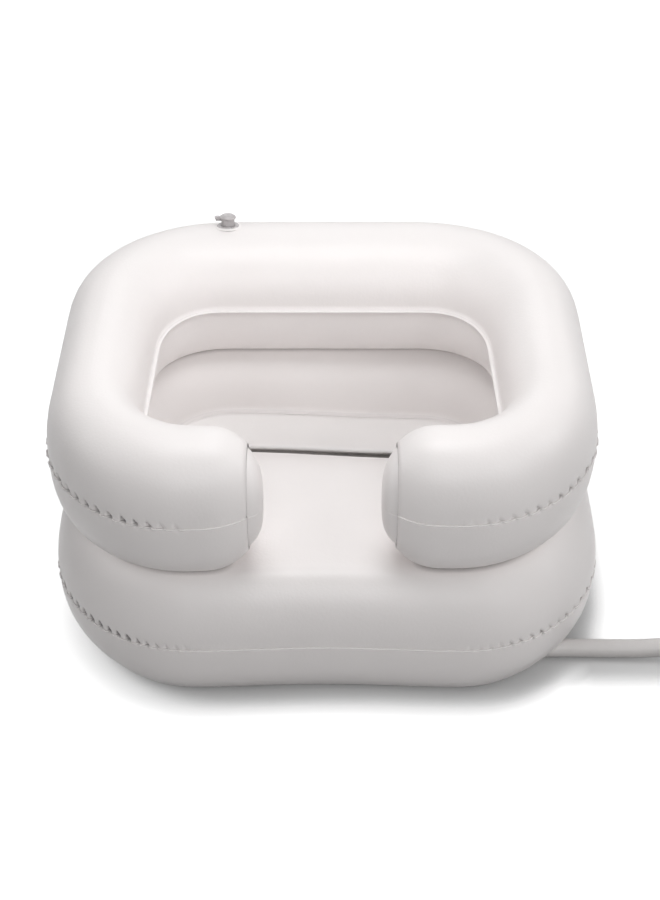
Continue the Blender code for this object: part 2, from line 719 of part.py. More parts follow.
def make_coil_tie(material):
    """Flat strap round the two turns that lie side by side."""
    turn = (COIL_TIE_ANGLE + math.pi / 2) / math.tau
    outer_radius = COIL_RADIUS - COIL_TURN_STEP * turn
    mid_radius = outer_radius - COIL_TURN_STEP / 2
    inner_half = COIL_TURN_STEP / 2
    rows = []
    for side in (-1, 1):
        for thickness in ((0, COIL_TIE_THICKNESS) if side < 0 else (COIL_TIE_THICKNESS, 0)):
            round_radius = HOSE_RADIUS + COIL_TIE_CLEARANCE + thickness
            row = []
            for end in (1, -1):
                for step in range(TIE_STEPS + 1):
                    angle = math.pi * (step / TIE_STEPS - 0.5)
                    x = end * (inner_half + round_radius * math.cos(angle))
                    row.append((x, side * COIL_TIE_WIDTH / 2, end * round_radius * math.sin(angle)))
            rows.append(row)
    tie = make_object("coil_tie", loft(rows, True), material)
    tie.rotation_euler = (0, 0, COIL_TIE_ANGLE)
    tie.location = (
        COIL_CENTRE_X + mid_radius * math.cos(COIL_TIE_ANGLE),
        CLAMP_Y + COIL_RADIUS + mid_radius * math.sin(COIL_TIE_ANGLE),
        COIL_Z,
    )
    return tie


def make_slide_clamp(material):
    """Plate with a keyhole: the hose runs free in the round end and is shut in the narrow slot."""
    hole = HOSE_RADIUS + CLAMP_CLEARANCE
    front = -hole - CLAMP_WALL
    back = hole + CLAMP_SLOT_LENGTH + CLAMP_WALL
    low = -CLAMP_HOSE_Z + FIT_GAP
    high = hole + CLAMP_WALL
    bm = box((-CLAMP_THICKNESS / 2, front, low), (CLAMP_THICKNESS / 2, back, high))
    upright = [edge for edge in bm.edges if abs(edge.verts[0].co.x - edge.verts[1].co.x) > FIT_GAP]
    bmesh.ops.bevel(bm, geom=upright, offset=CLAMP_CORNER, segments=3, profile=0.5, affect="EDGES")
    clamp = make_object("hose_slide_clamp", bm, material)
    grip_low = (-CLAMP_GRIP_REACH, back - CLAMP_WALL, low + CLAMP_CORNER)
    grip_high = (CLAMP_GRIP_REACH, back - CLAMP_WALL / 3, high - CLAMP_CORNER)
    grip = make_object("guide_clamp_grip", box(grip_low, grip_high), material)
    apply_boolean(clamp, grip, "UNION")
    eye = round_bar("guide_clamp_eye", hole, CLAMP_THICKNESS + CUT_OVERRUN, material)
    eye.rotation_euler = (0, math.pi / 2, 0)
    slot_low = (-CLAMP_THICKNESS / 2 - CUT_OVERRUN, 0, -hole)
    slot_high = (CLAMP_THICKNESS / 2 + CUT_OVERRUN, hole + CLAMP_SLOT_LENGTH, CLAMP_SLOT_HEIGHT - hole)
    slot = make_object("guide_clamp_slot", box(slot_low, slot_high), material)
    for part in (eye, slot):
        apply_boolean(clamp, part, "DIFFERENCE")
    place = Vector((CLAMP_X, CLAMP_Y, CLAMP_HOSE_Z))
    for part in (clamp, grip, slot):
        part.location = place
    eye.location = place - Vector(((CLAMP_THICKNESS + CUT_OVERRUN) / 2, 0, 0))
    return clamp


def valve_axis(name, x, inner_y, outer_y, mid_z, extra, angle):
    """Empty on a back tube's skin, ANGLE up from the outer seam, whose Z points straight out."""
    half_width = (outer_y - inner_y) / 2
    half_height = RING_HEIGHT / 2 + extra
    y = inner_y + half_width * (1 + math.cos(angle) ** TOP_ROUND_POWER)
    z = mid_z + half_height * math.sin(angle) ** TOP_ROUND_POWER
    lean = math.atan2(math.cos(angle) * half_height, math.sin(angle) * half_width)
    return make_empty(f"{name}_valve_axis", (x, y, z), (-lean, 0, 0))


def valve_axes():
    upper = valve_axis("upper", VALVE_X, BOWL_BACK, UPPER_BACK, UPPER_MID_Z, 0.0, UPPER_VALVE_ANGLE)
    lower = valve_axis("lower", VALVE_X, WELL_BACK, LOWER_BACK, LOWER_MID_Z, RING_SQUASH, LOWER_VALVE_ANGLE)
    return {"upper": upper, "lower": lower}


def make_valve_pocket(name, ring, axis, material):
    """Seat and pocket let into the ring for one valve."""
    seat = -VALVE_BASE_THICKNESS
    profile = [
        (0, seat - VALVE_POCKET_DEPTH),
        (VALVE_POCKET_RADIUS, seat - VALVE_POCKET_DEPTH),
        (VALVE_POCKET_RADIUS, seat),
        (VALVE_BASE_RADIUS + FIT_GAP, seat),
        (VALVE_BASE_RADIUS + FIT_GAP, CUT_OVERRUN),
        (0, CUT_OVERRUN),
    ]
    cutter = make_object(f"guide_{name}_pocket", turned(profile, False), material)
    cutter.parent = axis
    apply_boolean(ring, cutter, "DIFFERENCE")


def make_valve(name, axis, soft, clear):
    """Base, push-in stem, tethered cap and inner flap of one air valve."""
    low = FIT_GAP - VALVE_BASE_THICKNESS
    bore = VALVE_STEM_RADIUS + VALVE_STEM_CLEARANCE
    base_profile = [
        (bore, low),
        (VALVE_BASE_RADIUS, low),
        (VALVE_BASE_RADIUS, FIT_GAP - VALVE_BASE_THICKNESS / 2),
        (VALVE_BASE_RADIUS - VALVE_BASE_THICKNESS / 2, FIT_GAP),
        (VALVE_COLLAR_RADIUS, FIT_GAP),
        (VALVE_COLLAR_RADIUS, FIT_GAP + VALVE_COLLAR_HEIGHT),
        (bore, FIT_GAP + VALVE_COLLAR_HEIGHT),
    ]
    base = make_object(f"{name}_valve_base", turned(base_profile, True), soft)

    stop_top = low - FIT_GAP
    foot = stop_top - VALVE_STOP_THICKNESS
    stem_profile = [
        (VALVE_STEM_BORE, foot),
        (VALVE_STOP_RADIUS, foot),
        (VALVE_STOP_RADIUS, stop_top),
        (VALVE_STEM_RADIUS, stop_top),
        (VALVE_STEM_RADIUS, VALVE_STEM_OUTSIDE),
        (VALVE_STEM_BORE, VALVE_STEM_OUTSIDE),
    ]
    stem = make_object(f"{name}_valve_stem", turned(stem_profile, True), clear)
    lug_high = VALVE_HINGE_Z - FIT_GAP / 2
    lug_low = lug_high - VALVE_LUG_THICKNESS
    half_strap = VALVE_STRAP_WIDTH / 2
    inside = -(VALVE_STEM_RADIUS + VALVE_STEM_BORE) / 2
    lug_end = VALVE_LUG_GAP - VALVE_HINGE_REACH
    lug = make_object(
        f"guide_{name}_lug", box((lug_end, -half_strap, lug_low), (inside, half_strap, lug_high)), clear
    )
    apply_boolean(stem, lug, "UNION")

    under = VALVE_STEM_OUTSIDE + FIT_GAP
    top = under + VALVE_CAP_THICKNESS
    cap_profile = [
        (0, under - VALVE_PLUG_LENGTH),
        (VALVE_PLUG_TIP_RADIUS, under - VALVE_PLUG_LENGTH),
        (VALVE_PLUG_RADIUS, under),
        (VALVE_CAP_RADIUS, under),
        (VALVE_CAP_RADIUS, (under + top) / 2),
        (VALVE_CAP_RADIUS - VALVE_CAP_THICKNESS / 3, top - VALVE_CAP_THICKNESS / 6),
        (VALVE_CAP_RADIUS / 2, top),
        (0, top),
    ]
    cap = make_object(f"{name}_valve_cap", turned(cap_profile, False), clear)
    strap_low = VALVE_HINGE_Z + FIT_GAP / 2
    strap_end = -VALVE_HINGE_REACH - VALVE_LUG_GAP / 2
    strap_start = -(VALVE_STEM_RADIUS + FIT_GAP)
    strap_high = strap_low + VALVE_STRAP_THICKNESS
    strap = make_object(
        f"guide_{name}_strap",
        box((strap_end, -half_strap, strap_low), (strap_start, half_strap, strap_high)),
        clear,
    )
    apply_boolean(cap, strap, "UNION")

    flap_top = foot - FIT_GAP
    flap_profile = [
        (0, flap_top - VALVE_FLAP_THICKNESS),
        (VALVE_FLAP_RADIUS, flap_top - VALVE_FLAP_THICKNESS),
        (VALVE_FLAP_RADIUS, flap_top),
        (0, flap_top),
    ]
    flap = make_object(f"{name}_valve_flap", turned(flap_profile, False), soft)

    for part in (base, stem, lug, cap, strap, flap):
        part.parent = axis
    return base, stem, cap, flap


def main():
    clear_scene()
    vinyl = make_material("white_vinyl", (0.93, 0.93, 0.92), 0.42)
    film = make_material("film_vinyl", (0.90, 0.90, 0.89), 0.38)
    hose_vinyl = make_material("hose_vinyl", (0.90, 0.89, 0.86), 0.45)
    moulded = make_material("moulded_plastic", (0.88, 0.88, 0.87), 0.35)
    clear = make_material("clear_vinyl", (0.55, 0.56, 0.57), 0.30)

    lower_ring = make_lower_ring(vinyl)
    upper_ring = make_upper_ring(vinyl)
    make_end_cap("left_end_cap", -1, vinyl)
    make_end_cap("right_end_cap", 1, vinyl)
    make_basin_floor(film)
    make_drain_flange(moulded)
    make_drain_strainer(moulded)
    make_drain_nut(moulded)
    make_drain_elbow(moulded)

    make_tube("hose_under_basin", under_hose_route(), HOSE_RADIUS, HOSE_SIDE_RESOLUTION, hose_vinyl)
    make_hose_groove(lower_ring, vinyl)
    make_tube("drain_hose", free_hose_route(), HOSE_RADIUS, HOSE_SIDE_RESOLUTION, hose_vinyl)
    pinch = [Vector((x, CLAMP_Y, CLAMP_HOSE_Z)) for x in (PINCH_START_X, CLAMP_X, PINCH_END_X)]
    make_tube("hose_pinch_section", pinch, HOSE_RADIUS, HOSE_SIDE_RESOLUTION, hose_vinyl)
    make_slide_clamp(moulded)
    make_tube("drain_hose_lead", lead_hose_route(), HOSE_RADIUS, HOSE_SIDE_RESOLUTION, hose_vinyl)
    turns = coil_route()
    make_tube("drain_hose_coil", turns, HOSE_RADIUS, COIL_SIDE_RESOLUTION, hose_vinyl)
    print(f"least gap of the coil to itself: {least_self_gap(turns, HOSE_RADIUS):.4f} m")
    make_coil_tie(moulded)

    rings = {"upper": upper_ring, "lower": lower_ring}
    for name, axis in valve_axes().items():
        make_valve_pocket(name, rings[name], axis, vinyl)
        make_valve(name, axis, vinyl, clear)


main()
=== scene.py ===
import json
import math

import bmesh
import bpy
import numpy as np
from mathutils import Matrix, Vector


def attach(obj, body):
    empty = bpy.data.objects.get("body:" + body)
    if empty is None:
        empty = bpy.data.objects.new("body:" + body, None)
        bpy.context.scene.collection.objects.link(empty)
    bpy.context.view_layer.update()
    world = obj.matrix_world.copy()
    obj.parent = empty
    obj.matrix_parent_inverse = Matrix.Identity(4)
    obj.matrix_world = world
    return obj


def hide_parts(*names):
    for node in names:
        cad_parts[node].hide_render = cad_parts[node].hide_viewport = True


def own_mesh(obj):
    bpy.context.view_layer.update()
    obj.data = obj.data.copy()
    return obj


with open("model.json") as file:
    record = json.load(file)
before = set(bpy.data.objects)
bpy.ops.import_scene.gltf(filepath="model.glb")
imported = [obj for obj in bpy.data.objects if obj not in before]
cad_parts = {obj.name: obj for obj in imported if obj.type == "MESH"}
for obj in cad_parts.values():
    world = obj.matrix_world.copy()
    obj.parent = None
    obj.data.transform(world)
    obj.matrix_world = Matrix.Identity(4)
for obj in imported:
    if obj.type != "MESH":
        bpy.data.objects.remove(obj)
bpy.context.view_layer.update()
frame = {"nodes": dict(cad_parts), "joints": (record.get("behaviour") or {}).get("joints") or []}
cadNodes = frame["nodes"]


# Small helpers for building and finishing pieces

sharpAngle, softAngle = 40, 50


def clearSelection():
    if bpy.context.object and bpy.context.object.mode != "OBJECT":
        bpy.ops.object.mode_set(mode="OBJECT")
    bpy.ops.object.select_all(action="DESELECT")


def activate(piece):
    clearSelection()
    piece.select_set(True)
    bpy.context.view_layer.objects.active = piece


def pick(piece, kind, test):
    # Edit mode with only the faces or the edges that pass the test
    activate(piece)
    bpy.ops.object.mode_set(mode="EDIT")
    bpy.ops.mesh.select_mode(type=kind)
    bpy.ops.mesh.select_all(action="DESELECT")
    mesh = bmesh.from_edit_mesh(piece.data)
    for part in mesh.faces if kind == "FACE" else mesh.edges:
        part.select = test(part)
    mesh.select_flush_mode()
    bmesh.update_edit_mesh(piece.data)


def applyModifiers(piece):
    activate(piece)
    for modifier in list(piece.modifiers):
        bpy.ops.object.modifier_apply(modifier=modifier.name)


def joinOrCut(piece, tool, operation):
    step = piece.modifiers.new("shape", "BOOLEAN")
    step.operation = operation
    step.object = tool
    applyModifiers(piece)
    bpy.data.objects.remove(tool, do_unlink=True)


def roundEdges(piece, width, segments):
    soft = piece.modifiers.new("edge", "BEVEL")
    soft.width = width
    soft.segments = segments
    soft.angle_limit = math.radians(sharpAngle)
    applyModifiers(piece)


def repaint(piece, *materials):
    piece.data.materials.clear()
    for material in materials:
        piece.data.materials.append(material)


def settle(piece, smoothAngle=sharpAngle):
    # Put the place into the mesh and shade it round
    activate(piece)
    bpy.ops.object.transform_apply(location=True, rotation=True, scale=True)
    bpy.ops.object.shade_smooth_by_angle(angle=math.radians(smoothAngle))
    return piece


def meshPiece(name, points, faces, material):
    mesh = bpy.data.meshes.new(name)
    mesh.from_pydata([tuple(p) for p in points], [], [tuple(f) for f in faces])
    mesh.materials.append(material)
    mesh.shade_smooth()
    piece = bpy.data.objects.new(name, mesh)
    bpy.context.scene.collection.objects.link(piece)
    return piece


# Camera, at the photograph's angle

cameraSet = {"place": (0.006, -1.415, 1.110), "tilt": 55, "lens": 59.98}
bpy.ops.object.camera_add(location=cameraSet["place"], rotation=(math.radians(cameraSet["tilt"]), 0, 0))
camera = bpy.context.object
camera.name = "camera"
camera.data.lens = cameraSet["lens"]
camera.data.sensor_width = 36
bpy.context.scene.camera = camera
print("camera set")


# Materials

# Where most of a noise's values lie, and how many rays look for what stands near, for the painted shade in
# creases and the floor's painted shadow
noiseSpan = (0.3, 0.7)
nearSamples = {"creaseShade": 8, "floor": 24}


def newMaterial(name):
    material = bpy.data.materials.new(name)
    material.use_nodes = True
    tree = material.node_tree
    shader = tree.nodes["Principled BSDF"]
    place = tree.nodes.new("ShaderNodeTexCoord")
    return material, tree, shader, place


def noiseOn(tree, place, scale, detail):
    noise = tree.nodes.new("ShaderNodeTexNoise")
    noise.inputs["Scale"].default_value = scale
    noise.inputs["Detail"].default_value = detail
    tree.links.new(place.outputs["Object"], noise.inputs["Vector"])
    return noise


def rangeOf(tree, source, low, high, fromLow=noiseSpan[0], fromHigh=noiseSpan[1]):
    node = tree.nodes.new("ShaderNodeMapRange")
    node.inputs["From Min"].default_value = fromLow
    node.inputs["From Max"].default_value = fromHigh
    node.inputs["To Min"].default_value = low
    node.inputs["To Max"].default_value = high
    tree.links.new(source, node.inputs["Value"])
    return node.outputs["Result"]


def tinted(tree, share, source, colour):
    mix = tree.nodes.new("ShaderNodeMixRGB")
    mix.inputs["Color2"].default_value = (*colour, 1)
    tree.links.new(share, mix.inputs["Fac"])
    tree.links.new(source, mix.inputs["Color1"])
    return mix.outputs["Color"]


def bumpOf(tree, noise, strength, depth):
    bump = tree.nodes.new("ShaderNodeBump")
    bump.inputs["Strength"].default_value = strength
    bump.inputs["Distance"].default_value = depth
    tree.links.new(noise.outputs["Fac"], bump.inputs["Height"])
    return bump


def combined(tree, operation, first, second):
    node = tree.nodes.new("ShaderNodeMath")
    node.operation = operation
    tree.links.new(first, node.inputs[0])
    tree.links.new(second, node.inputs[1])
    return node.outputs["Value"]


def vinylMaterial(name, look):
    # Soft film: faint clouding, uneven sheen, fine emboss and slow waves, with painted shade in creases and
    # in the pits beside the welds
    material, tree, shader, place = newMaterial(name)
    cloud = noiseOn(tree, place, look["cloudScale"], 3)
    ramp = tree.nodes.new("ShaderNodeValToRGB")
    for stop, where, colour in zip(ramp.color_ramp.elements, noiseSpan, (look["darker"], look["lighter"])):
        stop.position = where
        stop.color = (*colour, 1)
    tree.links.new(cloud.outputs["Fac"], ramp.inputs["Fac"])
    # Painted shade: creases are a little darker than open film, by how much film ambient occlusion finds
    # close by
    creaseShade = tree.nodes.new("ShaderNodeAmbientOcclusion")
    creaseShade.samples = nearSamples["creaseShade"]
    creaseShade.inputs["Distance"].default_value = look["creaseReach"]
    depth = rangeOf(tree, creaseShade.outputs["AO"], look["creaseShadeDark"], 0, look["creaseFrom"], look["creaseTo"])
    shade = tinted(tree, depth, ramp.outputs["Color"], look["creaseShadeColour"])
    # Painted shade also darkens the pits beside a weld, where the rings' own attribute is above 0
    pitShade = tree.nodes.new("ShaderNodeAttribute")
    pitShade.attribute_name = "pitShade"
    depth = rangeOf(tree, pitShade.outputs["Fac"], 0, look["pitShadeDark"], look["pitShadeFrom"], 1)
    shade = tinted(tree, depth, shade, look["pitShadeColour"])
    tree.links.new(shade, shader.inputs["Base Color"])
    sheen = noiseOn(tree, place, look["sheenScale"], 2)
    rough = rangeOf(tree, sheen.outputs["Fac"], look["glossy"], look["matt"])
    tree.links.new(rough, shader.inputs["Roughness"])
    emboss = noiseOn(tree, place, look["embossScale"], 1)
    wave = noiseOn(tree, place, look["waveScale"], 2)
    waveBump = bumpOf(tree, wave, look["waveStrength"], look["waveDepth"])
    embossBump = bumpOf(tree, emboss, look["embossStrength"], look["embossDepth"])
    tree.links.new(waveBump.outputs["Normal"], embossBump.inputs["Normal"])
    tree.links.new(embossBump.outputs["Normal"], shader.inputs["Normal"])
    shader.inputs["IOR"].default_value = look["ior"]
    shader.inputs["Transmission Weight"].default_value = look["clear"]
    return material


vinylLook = {
    "darker": (0.908, 0.872, 0.863), "lighter": (0.928, 0.892, 0.883), "cloudScale": 9,
    "glossy": 0.36, "matt": 0.46, "sheenScale": 30,
    "embossScale": 360, "embossStrength": 0.32, "embossDepth": 0.0004,
    "waveScale": 22, "waveStrength": 0.12, "waveDepth": 0.004,
    "ior": 1.45, "clear": 0,
    # Painted shade in creases: how far ambient occlusion looks, over which range it darkens, how dark and in
    # what colour
    "creaseReach": 0.007, "creaseFrom": 0.10, "creaseTo": 0.75, "creaseShadeDark": 0.45,
    "creaseShadeColour": (0.28, 0.265, 0.26),
    # Painted shade in the pits beside the welds: how dark, from which pit depth, and in what colour
    "pitShadeDark": 0.85, "pitShadeFrom": 0.22, "pitShadeColour": (0.13, 0.12, 0.118),
}
ringVinyl = vinylMaterial("whiteRingVinyl", vinylLook)
seamVinyl = vinylMaterial("weldedSeamVinyl", {
    **vinylLook, "darker": (0.830, 0.798, 0.790), "lighter": (0.850, 0.818, 0.810),
    "glossy": 0.32, "matt": 0.42, "waveScale": 120, "waveStrength": 0.10, "waveDepth": 0.001,
})
floorVinyl = vinylMaterial("floorFilmVinyl", {
    **vinylLook, "darker": (0.895, 0.874, 0.867), "lighter": (0.915, 0.894, 0.887),
    "waveScale": 14, "waveStrength": 0.25,
    # The painted crease shade reaches further in the floor film
    "creaseReach": 0.02, "creaseFrom": 0.05, "creaseTo": 0.45, "creaseShadeDark": 0.35,
})
# Painted shade: the film down in the drain trough is coloured dark grey, with stronger crease shade, where
# it lies in deep shade
troughShadeVinyl = vinylMaterial("troughPaintedShadeVinyl", {
    **vinylLook, "darker": (0.52, 0.50, 0.49), "lighter": (0.60, 0.58, 0.57), "waveScale": 14,
    "creaseReach": 0.03, "creaseFrom": 0.10, "creaseTo": 0.80, "creaseShadeDark": 0.9,
})
hoseVinyl = vinylMaterial("hoseVinyl", {
    **vinylLook, "darker": (0.705, 0.680, 0.668), "lighter": (0.740, 0.715, 0.704), "cloudScale": 40,
    "glossy": 0.30, "matt": 0.40, "waveScale": 60, "waveStrength": 0.05,
})
mouldedPlastic = vinylMaterial("mouldedPlastic", {
    **vinylLook, "darker": (0.820, 0.820, 0.815), "lighter": (0.850, 0.850, 0.845), "cloudScale": 60,
    "glossy": 0.22, "matt": 0.34, "embossScale": 2500, "embossStrength": 0.06,
    "waveScale": 150, "waveStrength": 0.03, "waveDepth": 0.0005,
})
valveVinyl = vinylMaterial("clearValveVinyl", {
    **vinylLook, "darker": (0.55, 0.52, 0.525), "lighter": (0.65, 0.62, 0.625), "cloudScale": 160,
    "glossy": 0.16, "matt": 0.28, "embossScale": 1500, "embossStrength": 0.04,
    "waveScale": 200, "waveStrength": 0.08, "waveDepth": 0.0006, "clear": 0.15,
})
print("materials made")


# Hose: free run, the part in the clamp, and the rest in a neat coil

hoseSet = {
    "radius": 0.010, "bore": 0.0075, "boreDepth": 0.040, "sides": 24, "step": 0.006,
    "exit": (0.2413, -0.2150, 0.0100),
    "pinch": (0.395, 0.415, -0.2170, 0.0137),
    "mouth": (0.120, 0.0287, 0.0100),
    "underShares": ((0.02, 0.29), (0.12, 0.55), (0.33, 0.78), (0.60, 0.94)),
    "freeRoute": [(0.300, -0.2158, 0.0100), (0.340, -0.2166, 0.0108)],
    "leadRoute": [(0.465, -0.2171, 0.0126)],
    "gap": 0.0003, "edge": 0.0001, "pinchStep": 0.001, "curveSteps": 40,
}
coilSet = {
    "centreX": 0.545, "radius": 0.118, "turnStep": 0.0215, "turns": 1.15, "z": 0.0119, "pointsPerTurn": 60,
}


def smoothRoute(points, step):
    # Even points on a smooth curve through the chosen ones
    chosen = [Vector(p) for p in points]
    chosen = [chosen[0] * 2 - chosen[1]] + chosen + [chosen[-1] * 2 - chosen[-2]]
    fine = []
    for a, b, c, d in zip(chosen, chosen[1:], chosen[2:], chosen[3:]):
        for i in range(hoseSet["curveSteps"]):
            t = i / hoseSet["curveSteps"]
            square, cube = a * 2 - b * 5 + c * 4 - d, b * 3 - a - c * 3 + d
            fine.append((b * 2 + (c - a) * t + square * t * t + cube * t ** 3) / 2)
    fine.append(chosen[-2])
    return evenPoints(fine, step)


def evenPoints(points, step):
    places = np.array([tuple(p) for p in points])
    along = np.concatenate([[0], np.cumsum(np.linalg.norm(np.diff(places, axis=0), axis=1))])
    count = max(int(round(along[-1] / step)), 2)
    wanted = np.linspace(0, along[-1], count + 1)
    return np.stack([np.interp(wanted, along, places[:, k]) for k in range(3)], axis=1)


def straightEnds(start, leaving, middle, end, arriving):
    # A route that leaves and arrives straight
    reach = 2 * hoseSet["radius"]
    first = Vector(start) + Vector(leaving) * reach
    last = Vector(end) - Vector(arriving) * reach
    route = [tuple(p) for p in smoothRoute([first] + middle + [last], hoseSet["step"])]
    return evenPoints([tuple(start)] + route + [tuple(end)], hoseSet["step"])


def tubePiece(name, route, material, boreAt=()):
    # Round tube along a route; an end named in boreAt is open, with a bore
    route = np.array(route)
    run = np.gradient(route, axis=0)
    run /= np.linalg.norm(run, axis=1)[:, None]
    side = np.stack([run[:, 1], -run[:, 0], np.zeros(len(run))], axis=1)
    side /= np.linalg.norm(side, axis=1)[:, None]
    up = np.cross(side, run)
    turn = np.arange(hoseSet["sides"]) * math.tau / hoseSet["sides"]

    def ring(i, radius):
        return route[i] + radius * (np.outer(np.cos(turn), side[i]) + np.outer(np.sin(turn), up[i]))

    rings = [ring(i, hoseSet["radius"]) for i in range(len(route))]
    for end, order in (("start", -1), ("end", 1)):
        last = 0 if order < 0 else len(route) - 1
        added = [ring(last, hoseSet["radius"] - hoseSet["edge"])]
        if end in boreAt:
            depth = int(hoseSet["boreDepth"] / hoseSet["step"])
            added += [ring(last - order * k, hoseSet["bore"]) for k in range(depth)]
        rings = added[::-1] + rings if order < 0 else rings + added
    count = hoseSet["sides"]
    faces = []
    for low in range(len(rings) - 1):
        for k in range(count):
            j = (k + 1) % count
            faces.append((low * count + k, (low + 1) * count + k, (low + 1) * count + j, low * count + j))
    faces.append(tuple(range(count)))
    faces.append(tuple(reversed(range((len(rings) - 1) * count, len(rings) * count))))
    piece = meshPiece(name, np.concatenate(rings), faces, material)
    fixNormals(piece)
    bpy.ops.object.shade_smooth_by_angle(angle=math.radians(softAngle))
    return piece


def fixNormals(piece):
    activate(piece)
    bpy.ops.object.mode_set(mode="EDIT")
    bpy.ops.mesh.select_all(action="SELECT")
    bpy.ops.mesh.normals_make_consistent(inside=False)
    bpy.ops.object.mode_set(mode="OBJECT")


def makeHose():
    pinchStart, pinchEnd, pinchY, pinchZ = hoseSet["pinch"]
    gap = hoseSet["gap"]
    mouth, leave = Vector(hoseSet["mouth"]), Vector(hoseSet["exit"])
    way = leave - mouth
    middle = [
        mouth + Vector((way.x * across, way.y * forward, 0)) for across, forward in hoseSet["underShares"]]
    underRoute = straightEnds(mouth, (0, -1, 0), middle, leave, (1, 0, 0))
    under = tubePiece("hoseUnderBasin", underRoute, hoseVinyl)
    freeRoute = straightEnds(
        hoseSet["exit"], (1, 0, 0), hoseSet["freeRoute"], (pinchStart - gap, pinchY, pinchZ), (1, 0, 0))
    freeRun = tubePiece("drainHoseVisible", freeRoute, hoseVinyl)
    pinchRoute = evenPoints([(pinchStart, pinchY, pinchZ), (pinchEnd, pinchY, pinchZ)], hoseSet["pinchStep"])
    pinch = tubePiece("hosePinchVisible", pinchRoute, hoseVinyl)
    centre = Vector((coilSet["centreX"], pinchY + coilSet["radius"], coilSet["z"]))
    lead = straightEnds(
        (pinchEnd + gap, pinchY, pinchZ), (1, 0, 0), hoseSet["leadRoute"],
        (centre.x - 2 * hoseSet["radius"], pinchY, coilSet["z"]), (1, 0, 0))
    turns = []
    for i in range(int(coilSet["turns"] * coilSet["pointsPerTurn"]) + 1):
        turn = i / coilSet["pointsPerTurn"]
        angle = math.tau * turn - math.pi / 2
        radius = coilSet["radius"] - coilSet["turnStep"] * turn
        turns.append(centre + Vector((radius * math.cos(angle), radius * math.sin(angle), 0)))
    tailRoute = evenPoints([tuple(p) for p in lead] + [tuple(p) for p in turns], hoseSet["step"])
    tail = tubePiece("drainHoseTail", tailRoute, hoseVinyl, boreAt=("end",))
    return under, freeRun, freeRoute, pinch, tail, tailRoute


hoseUnder, hoseRun, hoseRunRoute, hosePinch, hoseTail, hoseTailRoute = makeHose()
for piece, replaced in (
    (hoseUnder, ["hose_under_basin"]), (hoseRun, ["drain_hose"]), (hosePinch, ["hose_pinch_section"]),
    (hoseTail, ["drain_hose_lead", "drain_hose_coil"]),
):
    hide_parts(*replaced)
    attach(piece, "basin")
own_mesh(hosePinch)
print("hose made")


# Air rings: lofted from an outer and an inner rounded outline, with a puckered outer weld

ringSet = {
    "height": 0.146, "midLower": 0.073, "midUpper": 0.2193, "squash": 0.004, "topPower": 0.92,
    "underPower": 0.74, "spacings": (0.004, 0.0013, 0.0013, 0.0013, 0.004), "soften": 0.013,
    "outerLip": 0.0014, "lipThickness": 0.0016, "lipMiddle": 0.5, "lipPoints": 7, "edgeTaper": 0.7,
    "beadRoot": 0.0002, "beadMiddle": 0.55, "beadShoulder": 0.9,
    "beadStations": 6, "beadLeast": 0.03, "beadGrowth": 0.97,
    "closeRows": np.array([
        0.0003, 0.0007, 0.0011, 0.0016, 0.0021, 0.0026, 0.0032, 0.0039, 0.0048, 0.0060, 0.0076, 0.0098,
        0.0128, 0.0168, 0.0220]),
    "turnRows": 10, "innerCrowding": 1.3, "crownShares": (0.2, 0.4, 0.6, 0.8), "outlineSteps": 200,
}
lowerOuter = {
    "first": 0, "half": 0.2902, "front": -0.290, "back": 0.286, "cornerX": 0.150, "cornerY": 0.170,
    "backCornerX": 0.150, "backCornerY": 0.172, "flare": 0.058,
}
lowerInner = {
    "first": 0, "half": 0.190, "front": 0.010, "back": 0.148, "cornerX": 0.080, "cornerY": 0.062,
    "backCornerX": 0.080, "backCornerY": 0.062, "flare": 0,
}
upperOuter = {
    "first": 0.0735, "half": 0.283, "front": -0.2755, "back": 0.286, "cornerX": 0.146, "cornerY": 0.166,
    "backCornerX": 0.182, "backCornerY": 0.198, "flare": 0.072,
}
upperInner = {
    "first": 0.0735, "half": 0.1925, "front": -0.167, "back": 0.147, "cornerX": 0.064, "cornerY": 0.088,
    "backCornerX": 0.064, "backCornerY": 0.088, "flare": 0,
}
# Hand-filled rings never sit quite straight: sideways shift, a dent in the middle of the front, a skewed
# front and an inner seam that drops towards one side
settleSet = {"frontFrom": 0.10, "frontReach": 0.30, "leanFrom": 0.08, "leanOver": 0.06, "leanPower": 1.5}
lowerSettle = {
    "shift": 0.0026, "dent": 0.006, "dentReach": 0.10, "skew": 0, "lean": 0.055, "leanReach": 0.09,
    "frontLean": 0.45, "waves": (0.0096, 0.0130, 0.0200), "innerLip": 0.0075,
}
upperSettle = {
    "shift": -0.0014, "dent": 0, "dentReach": 0.10, "skew": 0.021, "lean": 0, "leanReach": 0.09,
    "frontLean": 0, "waves": (0.0125, 0.0165, 0.0240), "innerLip": 0.0048,
}
cushionSet = {"outerShare": 0.17, "innerShare": 0.42, "sideShare": 0.485}
puckerSet = {
    "jitter": 0.6, "jitterSpacing": 0.018, "unevenness": 0.3, "unevenSpacing": 0.012,
    "lipLift": 0.0006, "lipSwing": 0.25, "seamSway": 0.004, "pulseRise": 0.20, "pulseSpan": 0.75,
    "pit": 0.0052, "pitHeight": 0.0018, "pitReach": 0.0030, "slant": 0.0022,
    "rightAt": (0, 0.2), "rightShare": 0.45,
    "fold": 0.0010, "foldReach": 0.022, "foldSpacing": 0.011, "groove": 0.0015, "grooveReach": 0.0014,
    "wavesAt": (0.14, 0.24, 0.29),
    "at": (0, 0.90, 1.10, 1.34, 2.0, 2.3, 2.7, 3.0, 3.66, 3.90, 4.10, 5),
    "level": (0.04, 0.06, 0.40, 1, 1, 0.6, 0.6, 1, 1, 0.40, 0.06, 0.04),
    "seed": 7,
}
taperSet = {"length": 0.050, "power": 2.67, "endShare": 0.74, "bowLength": 0.10, "bow": 0.005}


